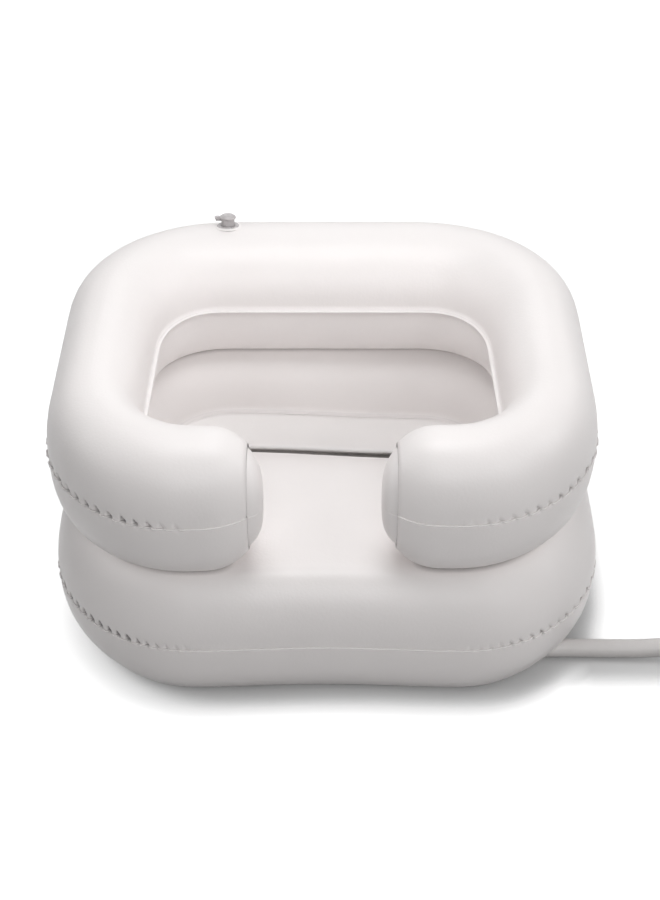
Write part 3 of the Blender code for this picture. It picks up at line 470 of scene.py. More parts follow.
def outlinePoints(shape, part, share):
    # One of the five runs of the right half: front, front corner, side, back corner, back
    startX = shape["half"] - shape["cornerX"]
    backX = shape["half"] - shape["backCornerX"]
    low = shape["front"] + shape["cornerY"]
    high = shape["back"] - shape["backCornerY"]
    turn = share * math.pi / 2
    if part == 0:
        x, y = shape["first"] + (startX - shape["first"]) * share, shape["front"] + 0 * share
    elif part == 1:
        x, y = startX + shape["cornerX"] * np.sin(turn), low - shape["cornerY"] * np.cos(turn)
    elif part == 2:
        x, y = shape["half"] + 0 * share, low + (high - low) * share
    elif part == 3:
        x, y = backX + shape["backCornerX"] * np.cos(turn), high + shape["backCornerY"] * np.sin(turn)
    else:
        x, y = backX * (1 - share), shape["back"] + 0 * share
    x = x * (1 + shape["flare"] * (y - shape["front"]) / (shape["back"] - shape["front"]))
    return np.stack([x, y], axis=1)


def ringOutlines(outer, inner, spacings):
    # Both outlines of the right half with the same stations, spaced along the outer one as each run says
    outerRows, innerRows, turnRows = [], [], []
    fineShares = np.linspace(0, 1, ringSet["outlineSteps"])
    for part, spacing in enumerate(spacings):
        along, _ = alongLine(outlinePoints(outer, part, fineShares), False)
        count = max(int(along[-1] / spacing), 4)
        share = np.interp(np.arange(count) / count * along[-1], along, fineShares)
        if part == 4:
            share = np.append(share, 1.0)
        outerRows.append(outlinePoints(outer, part, share))
        innerRows.append(outlinePoints(inner, part, share))
        turnRows.append(part + share)
    return np.concatenate(outerRows), np.concatenate(innerRows), np.concatenate(turnRows)


def alongLine(points, closed):
    # Distance along a line of points, and its whole length
    along = np.concatenate([[0], np.cumsum(np.linalg.norm(np.diff(points, axis=0), axis=1))])
    return along, along[-1] + (np.linalg.norm(points[0] - points[-1]) if closed else 0)


def mirrorRows(rows, keepFirst, flip):
    # The right half's rows, and the left half's after them
    left = rows[:-1][::-1] * (np.array([-1, 1]) if flip else 1)
    return np.concatenate([rows, left if keepFirst else left[:-1]])


def softenLine(points, closed, reach):
    # Soften where a corner runs into a straight
    along, total = alongLine(points, closed)
    if closed:
        places = np.concatenate([along - total, along, along + total])
        copies = np.concatenate([points, points, points])
    else:
        places = np.concatenate([-along[::-1], along, 2 * total - along[::-1]])
        copies = np.concatenate([2 * points[0] - points[::-1], points, 2 * points[-1] - points[::-1]])
    weights = np.exp(-0.5 * ((along[:, None] - places) / reach) ** 2) * np.gradient(places)
    return weights @ copies / weights.sum(axis=1, keepdims=True)


def easeShare(share):
    share = np.clip(share, 0, 1)
    return share * share * (3 - 2 * share)


def settleLines(outerLine, innerLine, settled):
    x, y = outerLine.T
    front = easeShare((settleSet["frontFrom"] - y) / settleSet["frontReach"])
    dent = settled["dent"] * np.exp(-((x / settled["dentReach"]) ** 2))
    outerLine[:, 1] += (settled["skew"] * x + dent) * front
    outerLine[:, 0] += settled["shift"]
    innerLine[:, 0] += settled["shift"]


def smoothNoise(random, along, total, closed, spacing, low=-1.0, high=1.0):
    # Seeded smooth values along a seam
    knots = max(int(total / spacing), 4)
    values = random.uniform(low, high, knots + 1)
    if closed:
        values[-1] = values[0]
    where = along / total * knots
    index = np.minimum(where.astype(int), knots - 1)
    share = easeShare(where - index)
    return values[index] * (1 - share) + values[index + 1] * share


def sectionProfile(width, lift, shares, powers, limit):
    # Points across the tube as (distance from the inner seam, height), upper half then lower half
    turnRows = ringSet["turnRows"]
    innerTurn = (math.pi / 2) * (np.arange(1, turnRows + 1) / turnRows) ** ringSet["innerCrowding"]
    halves = []
    for side, extra, power in ((1, lift[0], powers[0]), (-1, lift[1], powers[1])):
        # Close rows beside the weld, then even turns up to the crown
        close = np.arcsin((ringSet["closeRows"] / (limit + extra)) ** (1 / power))
        outerTurn = np.concatenate([close, np.linspace(close[-1], math.pi / 2, turnRows + 1)[1:]])
        runs = []
        for turn in (outerTurn, innerTurn):
            tall = np.minimum((limit + extra) * np.sin(turn) ** power, limit)
            runs.append((1 - np.cos(turn) ** power, side * tall))
        outerRun = np.stack([width - width * shares[0] * runs[0][0], runs[0][1]], axis=1)
        innerRun = np.stack([width * shares[1] * runs[1][0], runs[1][1]], axis=1)[::-1]
        crown = [outerRun[-1] + (innerRun[0] - outerRun[-1]) * t for t in ringSet["crownShares"]]
        halves.append(np.concatenate([outerRun, np.array(crown), innerRun]))
    return halves


def pulse(wave):
    # Wide flat-topped beats out of a sine
    return easeShare((wave + puckerSet["pulseRise"]) / puckerSet["pulseSpan"])


def armTaper(points):
    # The arms narrow towards their end caps
    fromEnd = np.abs(points[:, 0]) - upperOuter["first"]
    front = points[:, 1] < 0
    near = np.clip(1 - fromEnd / taperSet["length"], 0, 1) ** taperSet["power"]
    wide = np.clip(1 - fromEnd / taperSet["bowLength"], 0, 1) ** 2
    near = np.where(front, near, 0)
    wide = np.where(front, wide, 0)
    return 1 - (1 - taperSet["endShare"]) * near, taperSet["bow"] * wide


def buildRing(name, outer, inner, settled, closed, midZ, lift, stationShares, seed, material):
    outerHalf, innerHalf, turnHalf = ringOutlines(outer, inner, ringSet["spacings"])
    turns = mirrorRows(turnHalf[:, None], not closed, False)[:, 0]
    outerLine = softenLine(mirrorRows(outerHalf, not closed, True), closed, ringSet["soften"])
    innerLine = softenLine(mirrorRows(innerHalf, not closed, True), closed, ringSet["soften"])
    scale = np.ones(len(outerLine))
    if not closed:
        scale, bow = armTaper(outerLine)
        outerLine[:, 1] += bow
        middle = (outerLine + innerLine) / 2
        outerLine = middle + (outerLine - middle) * scale[:, None]
        innerLine = middle + (innerLine - middle) * scale[:, None]
    settleLines(outerLine, innerLine, settled)
    count = len(outerLine)
    along, total = alongLine(outerLine, closed)
    random = np.random.default_rng(seed)

    def noise(spacing, low=-1.0, high=1.0):
        return smoothNoise(random, along, total, closed, spacing, low, high)

    # The weld is gathered fully in the corners and hardly along the straights
    gathering = np.interp(turns, puckerSet["at"], puckerSet["level"])
    gathering = gathering * (1 + puckerSet["unevenness"] * noise(puckerSet["unevenSpacing"]))
    gathering = gathering * np.interp(outerLine[:, 0], puckerSet["rightAt"], (1, puckerSet["rightShare"]))
    # Its waves lie wider apart towards the two sides
    apart = np.interp(np.abs(outerLine[:, 0]), puckerSet["wavesAt"], settled["waves"])
    beats = np.concatenate([[0], np.cumsum(np.diff(along) * 2 / (apart[1:] + apart[:-1]))])
    allBeats = beats[-1] + (total - along[-1]) / apart[0]
    phase = math.tau * beats * round(allBeats) / allBeats
    phase = phase + puckerSet["jitter"] * noise(puckerSet["jitterSpacing"])
    swing = np.sin(phase) * gathering
    # Each gather is a short slanting pit that starts above the weld and ends below it
    pit = pulse(np.sin(phase)) * gathering
    pitPlace = puckerSet["pitHeight"] + puckerSet["slant"] * np.cos(phase)

    def dipAt(i, height):
        return pit[i] * np.exp(-(((height - pitPlace[i]) / puckerSet["pitReach"]) ** 2))

    softFold = noise(puckerSet["foldSpacing"], 0, 1) * gathering
    lipUp = swing * puckerSet["lipLift"]
    lipOut = ringSet["outerLip"] * (1 + puckerSet["lipSwing"] * swing)
    thick, taper, lipPoints = ringSet["lipThickness"] / 2, ringSet["edgeTaper"], ringSet["lipPoints"]
    rows, pitShades = [], []
    for i in range(count):
        across = outerLine[i] - innerLine[i]
        width = np.linalg.norm(across)
        across = across / width
        shares = stationShares(turns[i])
        upper, lower = sectionProfile(
            width, lift, shares, (ringSet["topPower"], ringSet["underPower"]), ringSet["height"] / 2)
        pitShadeHalves = []
        # The weld's groove runs only below it
        for half, groove in ((upper, 0), (lower, 1)):
            half[:, 1] *= scale[i]
            tall = np.abs(half[:, 1])
            outerSide = half[:, 0] > width / 2
            dip = dipAt(i, half[:, 1])
            pitShadeHalves.append(np.where(outerSide, dip, 0))
            pull = puckerSet["pit"] * dip
            pull += puckerSet["fold"] * softFold[i] * np.exp(-((tall / puckerSet["foldReach"]) ** 2))
            pull += puckerSet["groove"] * groove * np.exp(-((tall / puckerSet["grooveReach"]) ** 2))
            half[:, 0] -= np.where(outerSide, pull, 0)
            half[:, 1] += np.where(outerSide, lipUp[i] * np.exp(-((tall / puckerSet["seamSway"]) ** 2)), 0)
        tip, middle = width + lipOut[i], width + lipOut[i] * ringSet["lipMiddle"]
        root = width - puckerSet["groove"]
        lipRow = np.array([
            (root, -thick), (middle, -thick), (tip, -thick * taper), (tip + thick * ringSet["lipMiddle"], 0),
            (tip, thick * taper), (middle, thick), (root, thick)])
        lipRow[:, 1] += lipUp[i]
        lipDip = dipAt(i, 0)
        lipRow[:, 0] -= puckerSet["pit"] * lipDip
        # The inner weld ends just short of the end caps
        bead = settled["innerLip"]
        if not closed:
            ease = easeShare(min(i, count - 1 - i) / ringSet["beadStations"])
            bead *= ease * ringSet["beadGrowth"] + ringSet["beadLeast"]
        middle, shoulder = -bead * ringSet["beadMiddle"], -bead * ringSet["beadShoulder"]
        root = ringSet["beadRoot"]
        beadRow = np.array([
            (root, thick), (middle, thick), (shoulder, thick * taper), (-bead, 0),
            (shoulder, -thick * taper), (middle, -thick), (root, -thick)])
        section = np.concatenate([lipRow, upper, beadRow, lower[::-1]])
        pitShades += [np.full(lipPoints, lipDip), pitShadeHalves[0], np.zeros(lipPoints), pitShadeHalves[1][::-1]]
        lean = settled["lean"] * settled["leanReach"] * math.tanh(innerLine[i, 0] / settled["leanReach"])
        forward = easeShare((settleSet["leanFrom"] - innerLine[i, 1]) / settleSet["leanOver"])
        lean *= 1 + settled["frontLean"] * forward
        section[:, 1] -= lean * np.clip(1 - section[:, 0] / width, 0, 1) ** settleSet["leanPower"]
        section[:, 1] = np.maximum(section[:, 1], -ringSet["height"] / 2)
        flat = innerLine[i] + section[:, :1] * across
        rows.append(np.concatenate([flat, midZ + section[:, 1:]], axis=1))
    rows = np.array(rows)
    sides = rows.shape[1]
    faces = []
    last = count if closed else count - 1
    for i in range(last):
        a, b = i * sides, ((i + 1) % count) * sides
        for k in range(sides):
            j = (k + 1) % sides
            faces.append((a + k, b + k, b + j, a + j))
    piece = meshPiece(name, rows.reshape(-1, 3), faces, material)
    # How deep each pit beside the weld is, kept for the painted shade in the film's colour
    pitShadeAt = piece.data.attributes.new("pitShade", "FLOAT", "POINT")
    pitShadeAt.data.foreach_set("value", np.clip(np.concatenate(pitShades), 0, 1).astype(np.float32))
    marks = np.zeros(sides, np.int32)
    for start in (0, lipPoints + len(upper)):
        marks[start:start + lipPoints - 1] = 1
    piece.data.materials.append(seamVinyl)
    piece.data.polygons.foreach_set("material_index", np.tile(marks, last))
    return piece, rows


def cushionShares(turn):
    # The cushion is steep outside and flat on top, and eases into the sides' round tube
    ease = easeShare(turn - 1)
    side = cushionSet["sideShare"]
    return (cushionSet["outerShare"] + (side - cushionSet["outerShare"]) * ease,
            cushionSet["innerShare"] + (side - cushionSet["innerShare"]) * ease)


def plainShares(turn):
    return (cushionSet["sideShare"], cushionSet["sideShare"])


lowerRing, _ = buildRing(
    "lowerAirRing", lowerOuter, lowerInner, lowerSettle, True, ringSet["midLower"],
    (ringSet["squash"], ringSet["squash"]), cushionShares, puckerSet["seed"], ringVinyl)
fixNormals(lowerRing)
print("lower ring made")

upperRing, upperRows = buildRing(
    "upperAirRing", upperOuter, upperInner, upperSettle, False, ringSet["midUpper"],
    (0, ringSet["squash"]), plainShares, puckerSet["seed"] + 4, ringVinyl)
print("upper ring made")


# End caps: bulging panels that close the two arms

capSet = {
    "bulge": 0.015, "rings": 18, "power": 3.4,
    "groove": 0.0024, "grooveWidth": 0.0030, "grooveFade": 0.03, "grooveLeast": 0.1,
}


def makeCap(name, row, side):
    # Dome over the arm's end, with a fine groove at its weld
    centre = row.mean(axis=0)
    reach = np.linalg.norm(row - centre, axis=1).mean()
    # The groove runs out at the inner weld, where the section comes to a point
    point = row[upperCount - 1]
    fade = np.linalg.norm(row - point, axis=1) / capSet["grooveFade"]
    deep = np.clip(fade, capSet["grooveLeast"], 1) * capSet["groove"]
    inward = np.outer(deep * side, (1, 0, 0))
    rings = [row, centre + (row - centre) * (1 - capSet["grooveWidth"] / 2 / reach) + inward]
    start = 1 - capSet["grooveWidth"] / reach
    for k in range(capSet["rings"]):
        size = math.cos(math.pi / 2 * k / capSet["rings"])
        push = capSet["bulge"] * (1 - size ** capSet["power"])
        rings.append(centre + (row - centre) * size * start + (-side * push, 0, 0))
    count = len(row)
    points = np.concatenate(rings + [[centre + (-side * capSet["bulge"], 0, 0)]])
    faces = []
    for k in range(len(rings) - 1):
        for i in range(count):
            j = (i + 1) % count
            faces.append((k * count + i, (k + 1) * count + i, (k + 1) * count + j, k * count + j))
    last = (len(rings) - 1) * count
    for i in range(count):
        faces.append((last + i, len(points) - 1, last + (i + 1) % count))
    faces.append(tuple(range(count)))
    piece = meshPiece(name, points, faces, ringVinyl)
    fixNormals(piece)
    return piece


lipPoints = ringSet["lipPoints"]
upperCount = upperRows.shape[1] // 2 - lipPoints


def sectionWithoutLips(row):
    # The tube's outline without its two welds
    return np.concatenate([row[lipPoints:lipPoints + upperCount], row[2 * lipPoints + upperCount:]])


rightCap = makeCap("rightArmCap", sectionWithoutLips(upperRows[0]), 1)
leftCap = makeCap("leftArmCap", sectionWithoutLips(upperRows[-1]), -1)


def closeRingEnds(piece):
    activate(piece)
    bpy.ops.object.mode_set(mode="EDIT")
    bpy.ops.mesh.select_mode(type="EDGE")
    bpy.ops.mesh.select_all(action="DESELECT")
    bpy.ops.mesh.select_non_manifold()
    bpy.ops.mesh.fill_holes(sides=0)
    bpy.ops.object.mode_set(mode="OBJECT")
    fixNormals(piece)


closeRingEnds(upperRing)
for piece, node in (
    (lowerRing, "lower_ring"), (upperRing, "upper_ring"), (leftCap, "left_end_cap"),
    (rightCap, "right_end_cap"),
):
    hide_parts(node)
    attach(piece, "basin")
print("end caps made")


# Floor film: welded at the lower ring's inner seam, falling over a shelf into the drain trough, which is
# coloured dark as painted shade

filmSet = {
    "thickness": 0.0010, "inset": 0.0072, "rimDrop": 0.0003, "shadeBelow": 0.060,
    "shelfHalf": 0.172, "shelfFront": 0.0145, "shelfEdgeY": 0.078, "shelfZ": 0.064,
    "shelfCornerX": 0.062, "shelfCornerY": 0.031, "underInset": 0.006, "underReach": 0.022, "underZ": 0.046,
    "troughHalf": 0.160, "troughFront": 0.016, "troughBack": 0.086, "troughZ": 0.032,
    "troughCornerX": 0.044, "troughCornerY": 0.022, "hole": 0.0113, "drain": (0.120, 0.051),
    "spacings": (0.0035,) * 5, "steps": 12, "holeSteps": 18, "seed": 21,
    "sag": 0.0015, "ripple": 0.0006, "rippleSpacing": 0.018, "slow": 0.0009, "slowSpacing": 0.06,
}


def filmOutline(half, front, back, cornerX, cornerY):
    return {"first": 0, "half": half, "front": front, "back": back, "cornerX": cornerX, "cornerY": cornerY,
            "backCornerX": cornerX, "backCornerY": cornerY, "flare": 0}


def makeFloorFilm():
    s = filmSet
    seam, inset = lowerInner, s["inset"]
    rim = filmOutline(
        seam["half"] - inset, seam["front"] + inset, seam["back"] - inset, seam["cornerX"] - inset,
        seam["cornerY"] - inset)
    shelf = filmOutline(
        s["shelfHalf"], s["shelfFront"], s["shelfEdgeY"], s["shelfCornerX"], s["shelfCornerY"])
    trough = filmOutline(
        s["troughHalf"], s["troughFront"], s["troughBack"], s["troughCornerX"], s["troughCornerY"])
    under = filmOutline(
        s["shelfHalf"] - s["underInset"], s["shelfFront"], s["shelfEdgeY"] + s["underReach"],
        s["shelfCornerX"], s["shelfCornerY"])
    halves = [ringOutlines(rim, shape, s["spacings"])[:2] for shape in (shelf, under, trough)]
    lines = [halves[0][0], halves[0][1], halves[1][1], halves[2][1]]
    lines = [mirrorRows(line, False, True) for line in lines]
    heights = (ringSet["midLower"] - s["rimDrop"], s["shelfZ"], s["underZ"], s["troughZ"])
    # All but the trough shift and lean with the ring's inner seam
    leans, reach = [], lowerSettle["leanReach"]
    for line in lines[:3]:
        line[:, 0] += lowerSettle["shift"]
        leans.append(-lowerSettle["lean"] * reach * np.tanh(line[:, 0] / reach))
    count = len(lines[0])
    leans.append(np.zeros(count))
    random = np.random.default_rng(s["seed"])
    along, total = alongLine(lines[0], True)
    ripple = s["ripple"] * smoothNoise(random, along, total, True, s["rippleSpacing"])
    slow = s["slow"] * smoothNoise(random, along, total, True, s["slowSpacing"])
    levels = []
    for k in range(s["steps"] + 1):
        t = k / s["steps"]
        sag = math.sin(math.pi * t)
        level = lines[0] * (1 - t) + lines[1] * t
        z = heights[0] * (1 - t) + heights[1] * t - s["sag"] * sag + (ripple + slow) * sag
        z = z + leans[0] * (1 - t) + leans[1] * t
        levels.append(np.column_stack([level, z]))
    for low in (1, 2):
        for k in range(1, s["steps"] + 1):
            t = k / s["steps"]
            level = lines[low] * (1 - t) + lines[low + 1] * t
            z = (heights[low] + leans[low]) * (1 - t) + (heights[low + 1] + leans[low + 1]) * t
            levels.append(np.column_stack([level, z]))
    drain = np.array(s["drain"])
    angle = np.arctan2(lines[3][:, 1] - drain[1], lines[3][:, 0] - drain[0])
    goal = drain + s["hole"] * np.stack([np.cos(angle), np.sin(angle)], axis=1)
    for k in range(1, s["holeSteps"] + 1):
        t = k / s["holeSteps"]
        levels.append(np.column_stack([lines[3] * (1 - t) + goal * t, np.full(count, heights[3])]))
    points = np.concatenate(levels)
    faces = []
    for k in range(len(levels) - 1):
        for i in range(count):
            j = (i + 1) % count
            faces.append((k * count + i, k * count + j, (k + 1) * count + j, (k + 1) * count + i))
    piece = meshPiece("basinFloorFilm", points, faces, floorVinyl)
    fixNormals(piece)
    if piece.data.polygons[0].normal.z < 0:
        piece.data.flip_normals()
    # Painted shade: the film's faces below the shelf take the dark trough material
    piece.data.materials.append(troughShadeVinyl)
    for face in piece.data.polygons:
        face.material_index = 1 if face.center.z < s["shadeBelow"] else 0
    wall = piece.modifiers.new("film", "SOLIDIFY")
    wall.thickness = s["thickness"]
    wall.offset = -1
    applyModifiers(piece)
    return piece


floorFilm = makeFloorFilm()
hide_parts("basin_floor")
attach(floorFilm, "basin")
print("floor film made")


# Air valve caps: a domed lid with a plug under it and a strap to the stem, modelled once, set on both valves

capLidSet = {
    "radius": 0.0098, "under": 0.0098, "wall": 0.0014, "sides": 48, "edge": 0.0005, "edgeSteps": 3,
    "dome": ((0.0012, 0.0014), (0.0022, 0.0014), (0.0030, 0.0006)),
    "plugInset": 0.0052, "plugLength": 0.0035, "plugTaper": 0.7,
    "strapFrom": -0.0158, "strapTo": -0.0060, "strapLow": 0.0089, "strapHigh": 0.0119, "strapWidth": 0.0060,
    "strapTail": 0.001, "strapCorner": 0.4, "strapSteps": 6,
    "hingeReach": 0.0154, "hingeHeight": 0.00875,
}


def growTop(piece, steps):
    # Inset and raise the top face step by step
    pick(piece, "FACE", lambda face: face.normal.z > 0.9)
    for width, rise in steps:
        bpy.ops.mesh.inset(thickness=width, depth=rise)
    bpy.ops.object.mode_set(mode="OBJECT")


def makeValveCap(name):
    s = capLidSet
    clearSelection()
    middle = s["under"] + s["wall"] / 2
    bpy.ops.mesh.primitive_cylinder_add(
        vertices=s["sides"], radius=s["radius"], depth=s["wall"], location=(0, 0, middle))
    lid = bpy.context.object
    lid.name = name
    settle(lid)
    growTop(lid, s["dome"])
    pick(lid, "FACE", lambda face: face.normal.z < -0.9)
    bpy.ops.mesh.inset(thickness=s["plugInset"], depth=0)
    bpy.ops.mesh.extrude_region_move(TRANSFORM_OT_translate={"value": (0, 0, -s["plugLength"])})
    bpy.ops.transform.resize(value=(s["plugTaper"], s["plugTaper"], 1))
    bpy.ops.object.mode_set(mode="OBJECT")
    clearSelection()
    bpy.ops.mesh.primitive_cube_add(size=1, location=(
        (s["strapFrom"] + s["strapTo"]) / 2, 0, (s["strapLow"] + s["strapHigh"]) / 2))
    strap = bpy.context.object
    strap.scale = (s["strapTo"] - s["strapFrom"], s["strapWidth"], s["strapHigh"] - s["strapLow"])
    settle(strap)

    def atTail(edge):
        a, b = edge.verts[0].co, edge.verts[1].co
        return max(a.x, b.x) < s["strapFrom"] + s["strapTail"] and a.y * b.y > 0

    pick(strap, "EDGE", atTail)
    bpy.ops.mesh.bevel(offset=s["strapWidth"] * s["strapCorner"], segments=s["strapSteps"])
    bpy.ops.object.mode_set(mode="OBJECT")
    joinOrCut(lid, strap, "UNION")
    roundEdges(lid, s["edge"], s["edgeSteps"])
    repaint(lid, valveVinyl)
    return lid


# The welded-on base: a white film patch with the valve's own grey collar round the bore

valveBaseSet = {
    "radius": 0.0165, "low": -0.0013, "edgeTop": -0.0007, "top": 0.0003, "sides": 72,
    "collar": 0.0134, "collarDepth": 0.0001, "slope": 0.0006, "rise": 0.0007,
    "bore": 0.0083, "boreDepth": 0.01,
    "edge": 0.00025, "edgeSteps": 2,
}


def makeValveBase(name):
    s = valveBaseSet
    clearSelection()
    bpy.ops.mesh.primitive_cylinder_add(
        vertices=s["sides"], radius=s["radius"], depth=s["edgeTop"] - s["low"],
        location=(0, 0, (s["edgeTop"] + s["low"]) / 2))
    base = bpy.context.object
    base.name = name
    settle(base)
    growTop(base, ((s["radius"] - s["collar"], s["top"] - s["edgeTop"]), (s["slope"], s["rise"])))
    clearSelection()
    bpy.ops.mesh.primitive_cylinder_add(vertices=s["sides"], radius=s["bore"], depth=s["boreDepth"])
    joinOrCut(base, bpy.context.object, "DIFFERENCE")
    roundEdges(base, s["edge"], s["edgeSteps"])
    repaint(base, ringVinyl, valveVinyl)
    for face in base.data.polygons:
        inside = math.hypot(face.center.x, face.center.y) < s["collar"]
        face.material_index = 1 if inside and face.center.z > s["top"] - s["collarDepth"] else 0
    return base


def copyPiece(piece, name):
    twin = piece.copy()
    twin.data = piece.data.copy()
    twin.name = name
    bpy.context.scene.collection.objects.link(twin)
    return twin


def setOnValve(lid, side, node, body):
    # The hinge and the stem's slide say where the valve is and which way it points
    joints = {joint["name"]: joint for joint in frame["joints"]}
    outward = Vector(joints[f"{side}_stem_slide"]["axis"]).normalized()
    across = Vector((1, 0, 0))
    hinge = Vector(joints[f"{side}_cap_hinge"]["pos_m"])
    origin = hinge + across * capLidSet["hingeReach"] - outward * capLidSet["hingeHeight"]
    turn = Matrix((across, outward.cross(across), outward)).transposed().to_4x4()
    lid.matrix_world = Matrix.Translation(origin) @ turn
    settle(lid, softAngle)
    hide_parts(node)
    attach(lid, body)


upperLid = makeValveCap("upperValveCapLid")
upperBase = makeValveBase("upperValveBasePatch")
lowerLid = copyPiece(upperLid, "lowerValveCapLid")
lowerBase = copyPiece(upperBase, "lowerValveBasePatch")
for lid, base, side in ((upperLid, upperBase, "upper"), (lowerLid, lowerBase, "lower")):
    setOnValve(lid, side, f"{side}_valve_cap", f"{side}_cap")
    setOnValve(base, side, f"{side}_valve_base", "basin")
print("valve caps and bases made")


# CAD nodes that stay, with their finishes

finishes = {
    mouldedPlastic: (
        "drain_flange", "drain_strainer", "drain_nut", "drain_elbow", "hose_slide_clamp", "coil_tie"),
    valveVinyl: ("upper_valve_stem", "upper_valve_flap", "lower_valve_stem", "lower_valve_flap"),
}
for material, nodes in finishes.items():
    for node in nodes:
        repaint(cadNodes[node], material)
print("carried-over pieces finished")


# Floor and light

stageSet = {
    "size": 9, "place": (0, 1, -0.0002), "floor": 0.50, "speckle": 0.004, "speckleScale": 300,
    "roughness": 0.9, "specular": 0.1, "bounce": 0.35,
    "lift": 0.84, "farLift": 1.0, "farFrom": 1.0, "farTo": 2.2,
    # Painted shadow: how open the floor is, by what stands within reach in the leaning direction, and how
    # far the floor's glow is lifted towards white for that
    "frontReach": 0.042, "frontLean": (-0.70, 0.50, 0.62),
    "frontLift": (
        (0.28, 0.05), (0.33, 0.11), (0.40, 0.17), (0.46, 0.26), (0.52, 0.40), (0.58, 0.52), (0.65, 0.64),
        (0.73, 0.72), (0.82, 0.84), (0.94, 1)),
    "sideReach": 0.047, "sideLean": (-0.60, 0.70, 0.25),
    "sideLift": (
        (0.41, 0.06), (0.50, 0.20), (0.64, 0.21), (0.72, 0.22), (0.77, 0.26), (0.81, 0.38), (0.85, 0.58),
        (0.90, 0.76), (0.95, 0.87), (1, 1)),
    "sideFrom": 0.252, "sideTo": 0.285, "sideBack": -0.20, "sideFront": -0.22,
}
lightSet = {
    "aim": (0, 0, 0.15), "distance": 2.2, "height": 30, "size": 1.0,
    "ring": ((0, 11.8), (45, 6.8), (90, 8.6), (135, 2.4), (180, 3.4), (225, 2.2), (270, 6.4), (315, 1.8)),
    "single": (
        ("overhead", (0, 0, 1.15), 0.6, 4.6), ("highBack", (0, 1.10, 2.055), 1.2, 3.6),
        ("lowRight", (1.88, -1.08, 0.53), 0.8, 0.7)),
}


def seenDirectly(tree):
    # 1 for rays that show the background as it is: from the camera, in a gloss or through a clear piece
    path = tree.nodes.new("ShaderNodeLightPath")
    first = combined(tree, "MAXIMUM", path.outputs["Is Camera Ray"], path.outputs["Is Glossy Ray"])
    return combined(tree, "MAXIMUM", first, path.outputs["Is Transmission Ray"])


def floorShadowGrey(tree, reach, leaning, lifts):
    # Painted shadow: a grey from 0 to 1 by how open the floor is
    openness = tree.nodes.new("ShaderNodeAmbientOcclusion")
    openness.samples = nearSamples["floor"]
    openness.inputs["Distance"].default_value = reach
    lean = tree.nodes.new("ShaderNodeCombineXYZ")
    for axis in range(3):
        lean.inputs[axis].default_value = leaning[axis]
    tree.links.new(lean.outputs["Vector"], openness.inputs["Normal"])
    ramp = tree.nodes.new("ShaderNodeValToRGB")
    stops = ramp.color_ramp.elements
    stops[0].position, stops[1].position = lifts[0][0], lifts[-1][0]
    for where, level in lifts[1:-1]:
        stops.new(where)
    for stop, (where, level) in zip(stops, lifts):
        stop.color = (level, level, level, 1)
    tree.links.new(openness.outputs["AO"], ramp.inputs["Fac"])
    return ramp.outputs["Color"]


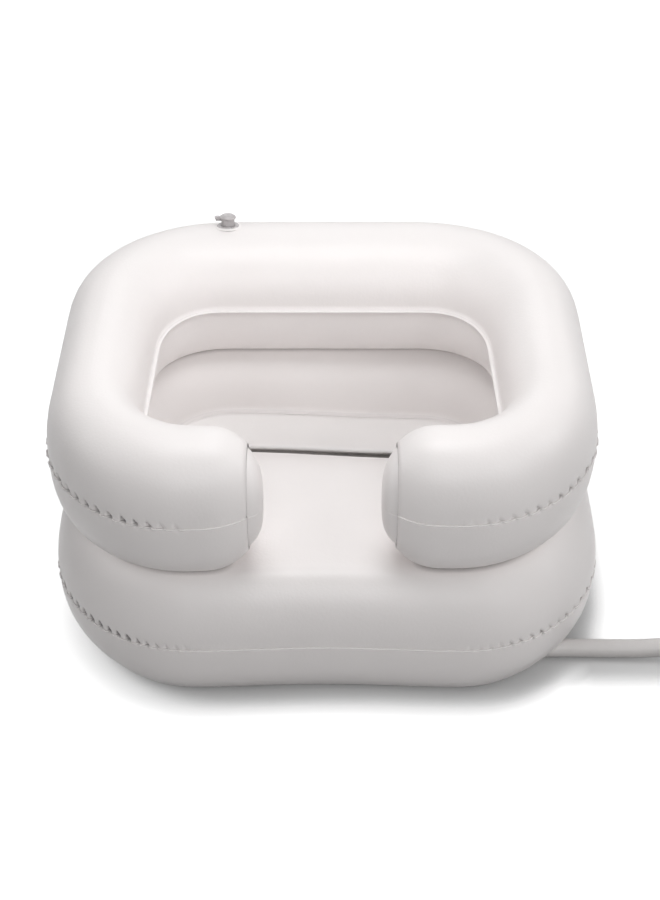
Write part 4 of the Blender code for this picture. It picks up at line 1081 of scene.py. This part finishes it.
def makeStage():
    bpy.ops.mesh.primitive_plane_add(size=stageSet["size"], location=stageSet["place"])
    ground = bpy.context.object
    ground.name = "ground"
    settle(ground)
    material, tree, shader, place = newMaterial("paleGround")
    speckle = noiseOn(tree, place, stageSet["speckleScale"], 2)
    tone = rangeOf(
        tree, speckle.outputs["Fac"], stageSet["floor"] - stageSet["speckle"],
        stageSet["floor"] + stageSet["speckle"])
    tree.links.new(tone, shader.inputs["Base Color"])
    shader.inputs["Roughness"].default_value = stageSet["roughness"]
    shader.inputs["Specular IOR Level"].default_value = stageSet["specular"]
    shader.inputs["Emission Color"].default_value = (1, 1, 1, 1)
    # The floor's shadow is partly real, from the lamps, and partly painted: the glow towards white fades
    # where the object stands over the floor, and the strip in front of the hose has its own
    front = floorShadowGrey(tree, stageSet["frontReach"], stageSet["frontLean"], stageSet["frontLift"])
    side = floorShadowGrey(tree, stageSet["sideReach"], stageSet["sideLean"], stageSet["sideLift"])
    apart = tree.nodes.new("ShaderNodeSeparateXYZ")
    tree.links.new(place.outputs["Object"], apart.inputs["Vector"])
    across = rangeOf(tree, apart.outputs["X"], 0, 1, stageSet["sideFrom"], stageSet["sideTo"])
    forward = rangeOf(tree, apart.outputs["Y"], 0, 1, stageSet["sideBack"], stageSet["sideFront"])
    both = tree.nodes.new("ShaderNodeMixRGB")
    tree.links.new(combined(tree, "MULTIPLY", across, forward), both.inputs["Fac"])
    tree.links.new(front, both.inputs["Color1"])
    tree.links.new(side, both.inputs["Color2"])
    # Far from the object the lamps fade, and the lift makes up for them
    away = tree.nodes.new("ShaderNodeVectorMath")
    away.operation = "LENGTH"
    tree.links.new(place.outputs["Object"], away.inputs[0])
    full = rangeOf(
        tree, away.outputs["Value"], stageSet["lift"], stageSet["farLift"], stageSet["farFrom"],
        stageSet["farTo"])
    lift = combined(tree, "MULTIPLY", both.outputs["Color"], full)
    tree.links.new(lift, shader.inputs["Emission Strength"])
    bounce = tree.nodes.new("ShaderNodeBsdfDiffuse")
    bounce.inputs["Color"].default_value = (stageSet["bounce"], stageSet["bounce"], stageSet["bounce"], 1)
    mix = tree.nodes.new("ShaderNodeMixShader")
    tree.links.new(seenDirectly(tree), mix.inputs["Fac"])
    tree.links.new(bounce.outputs["BSDF"], mix.inputs[1])
    tree.links.new(shader.outputs["BSDF"], mix.inputs[2])
    tree.links.new(mix.outputs["Shader"], tree.nodes["Material Output"].inputs["Surface"])
    ground.data.materials.append(material)

    world = bpy.data.worlds.new("studio")
    bpy.context.scene.world = world
    world.use_nodes = True
    tree = world.node_tree
    background = tree.nodes["Background"]
    tree.links.new(seenDirectly(tree), background.inputs["Strength"])
    background.inputs["Color"].default_value = (1, 1, 1, 1)


def addLamp(name, place, size, power):
    bpy.ops.object.light_add(type="AREA", location=place)
    light = bpy.context.object
    light.name = name
    light.data.shape = "SQUARE"
    light.data.size = size
    light.data.energy = power
    light.rotation_euler = (Vector(lightSet["aim"]) - Vector(place)).to_track_quat("-Z", "Y").to_euler()


def makeLights():
    # A ring of soft lamps round the object, 0 in front and 90 at the right, and three more
    rise = math.radians(lightSet["height"])
    for angle, power in lightSet["ring"]:
        turn = math.radians(angle)
        away = Vector((math.sin(turn) * math.cos(rise), -math.cos(turn) * math.cos(rise), math.sin(rise)))
        place = Vector(lightSet["aim"]) + away * lightSet["distance"]
        addLamp(f"ring{angle}", place, lightSet["size"], power)
    for lamp in lightSet["single"]:
        addLamp(*lamp)


clearSelection()
makeStage()
makeLights()
bpy.context.scene.view_settings.view_transform = "Standard"
print("stage and lights made")
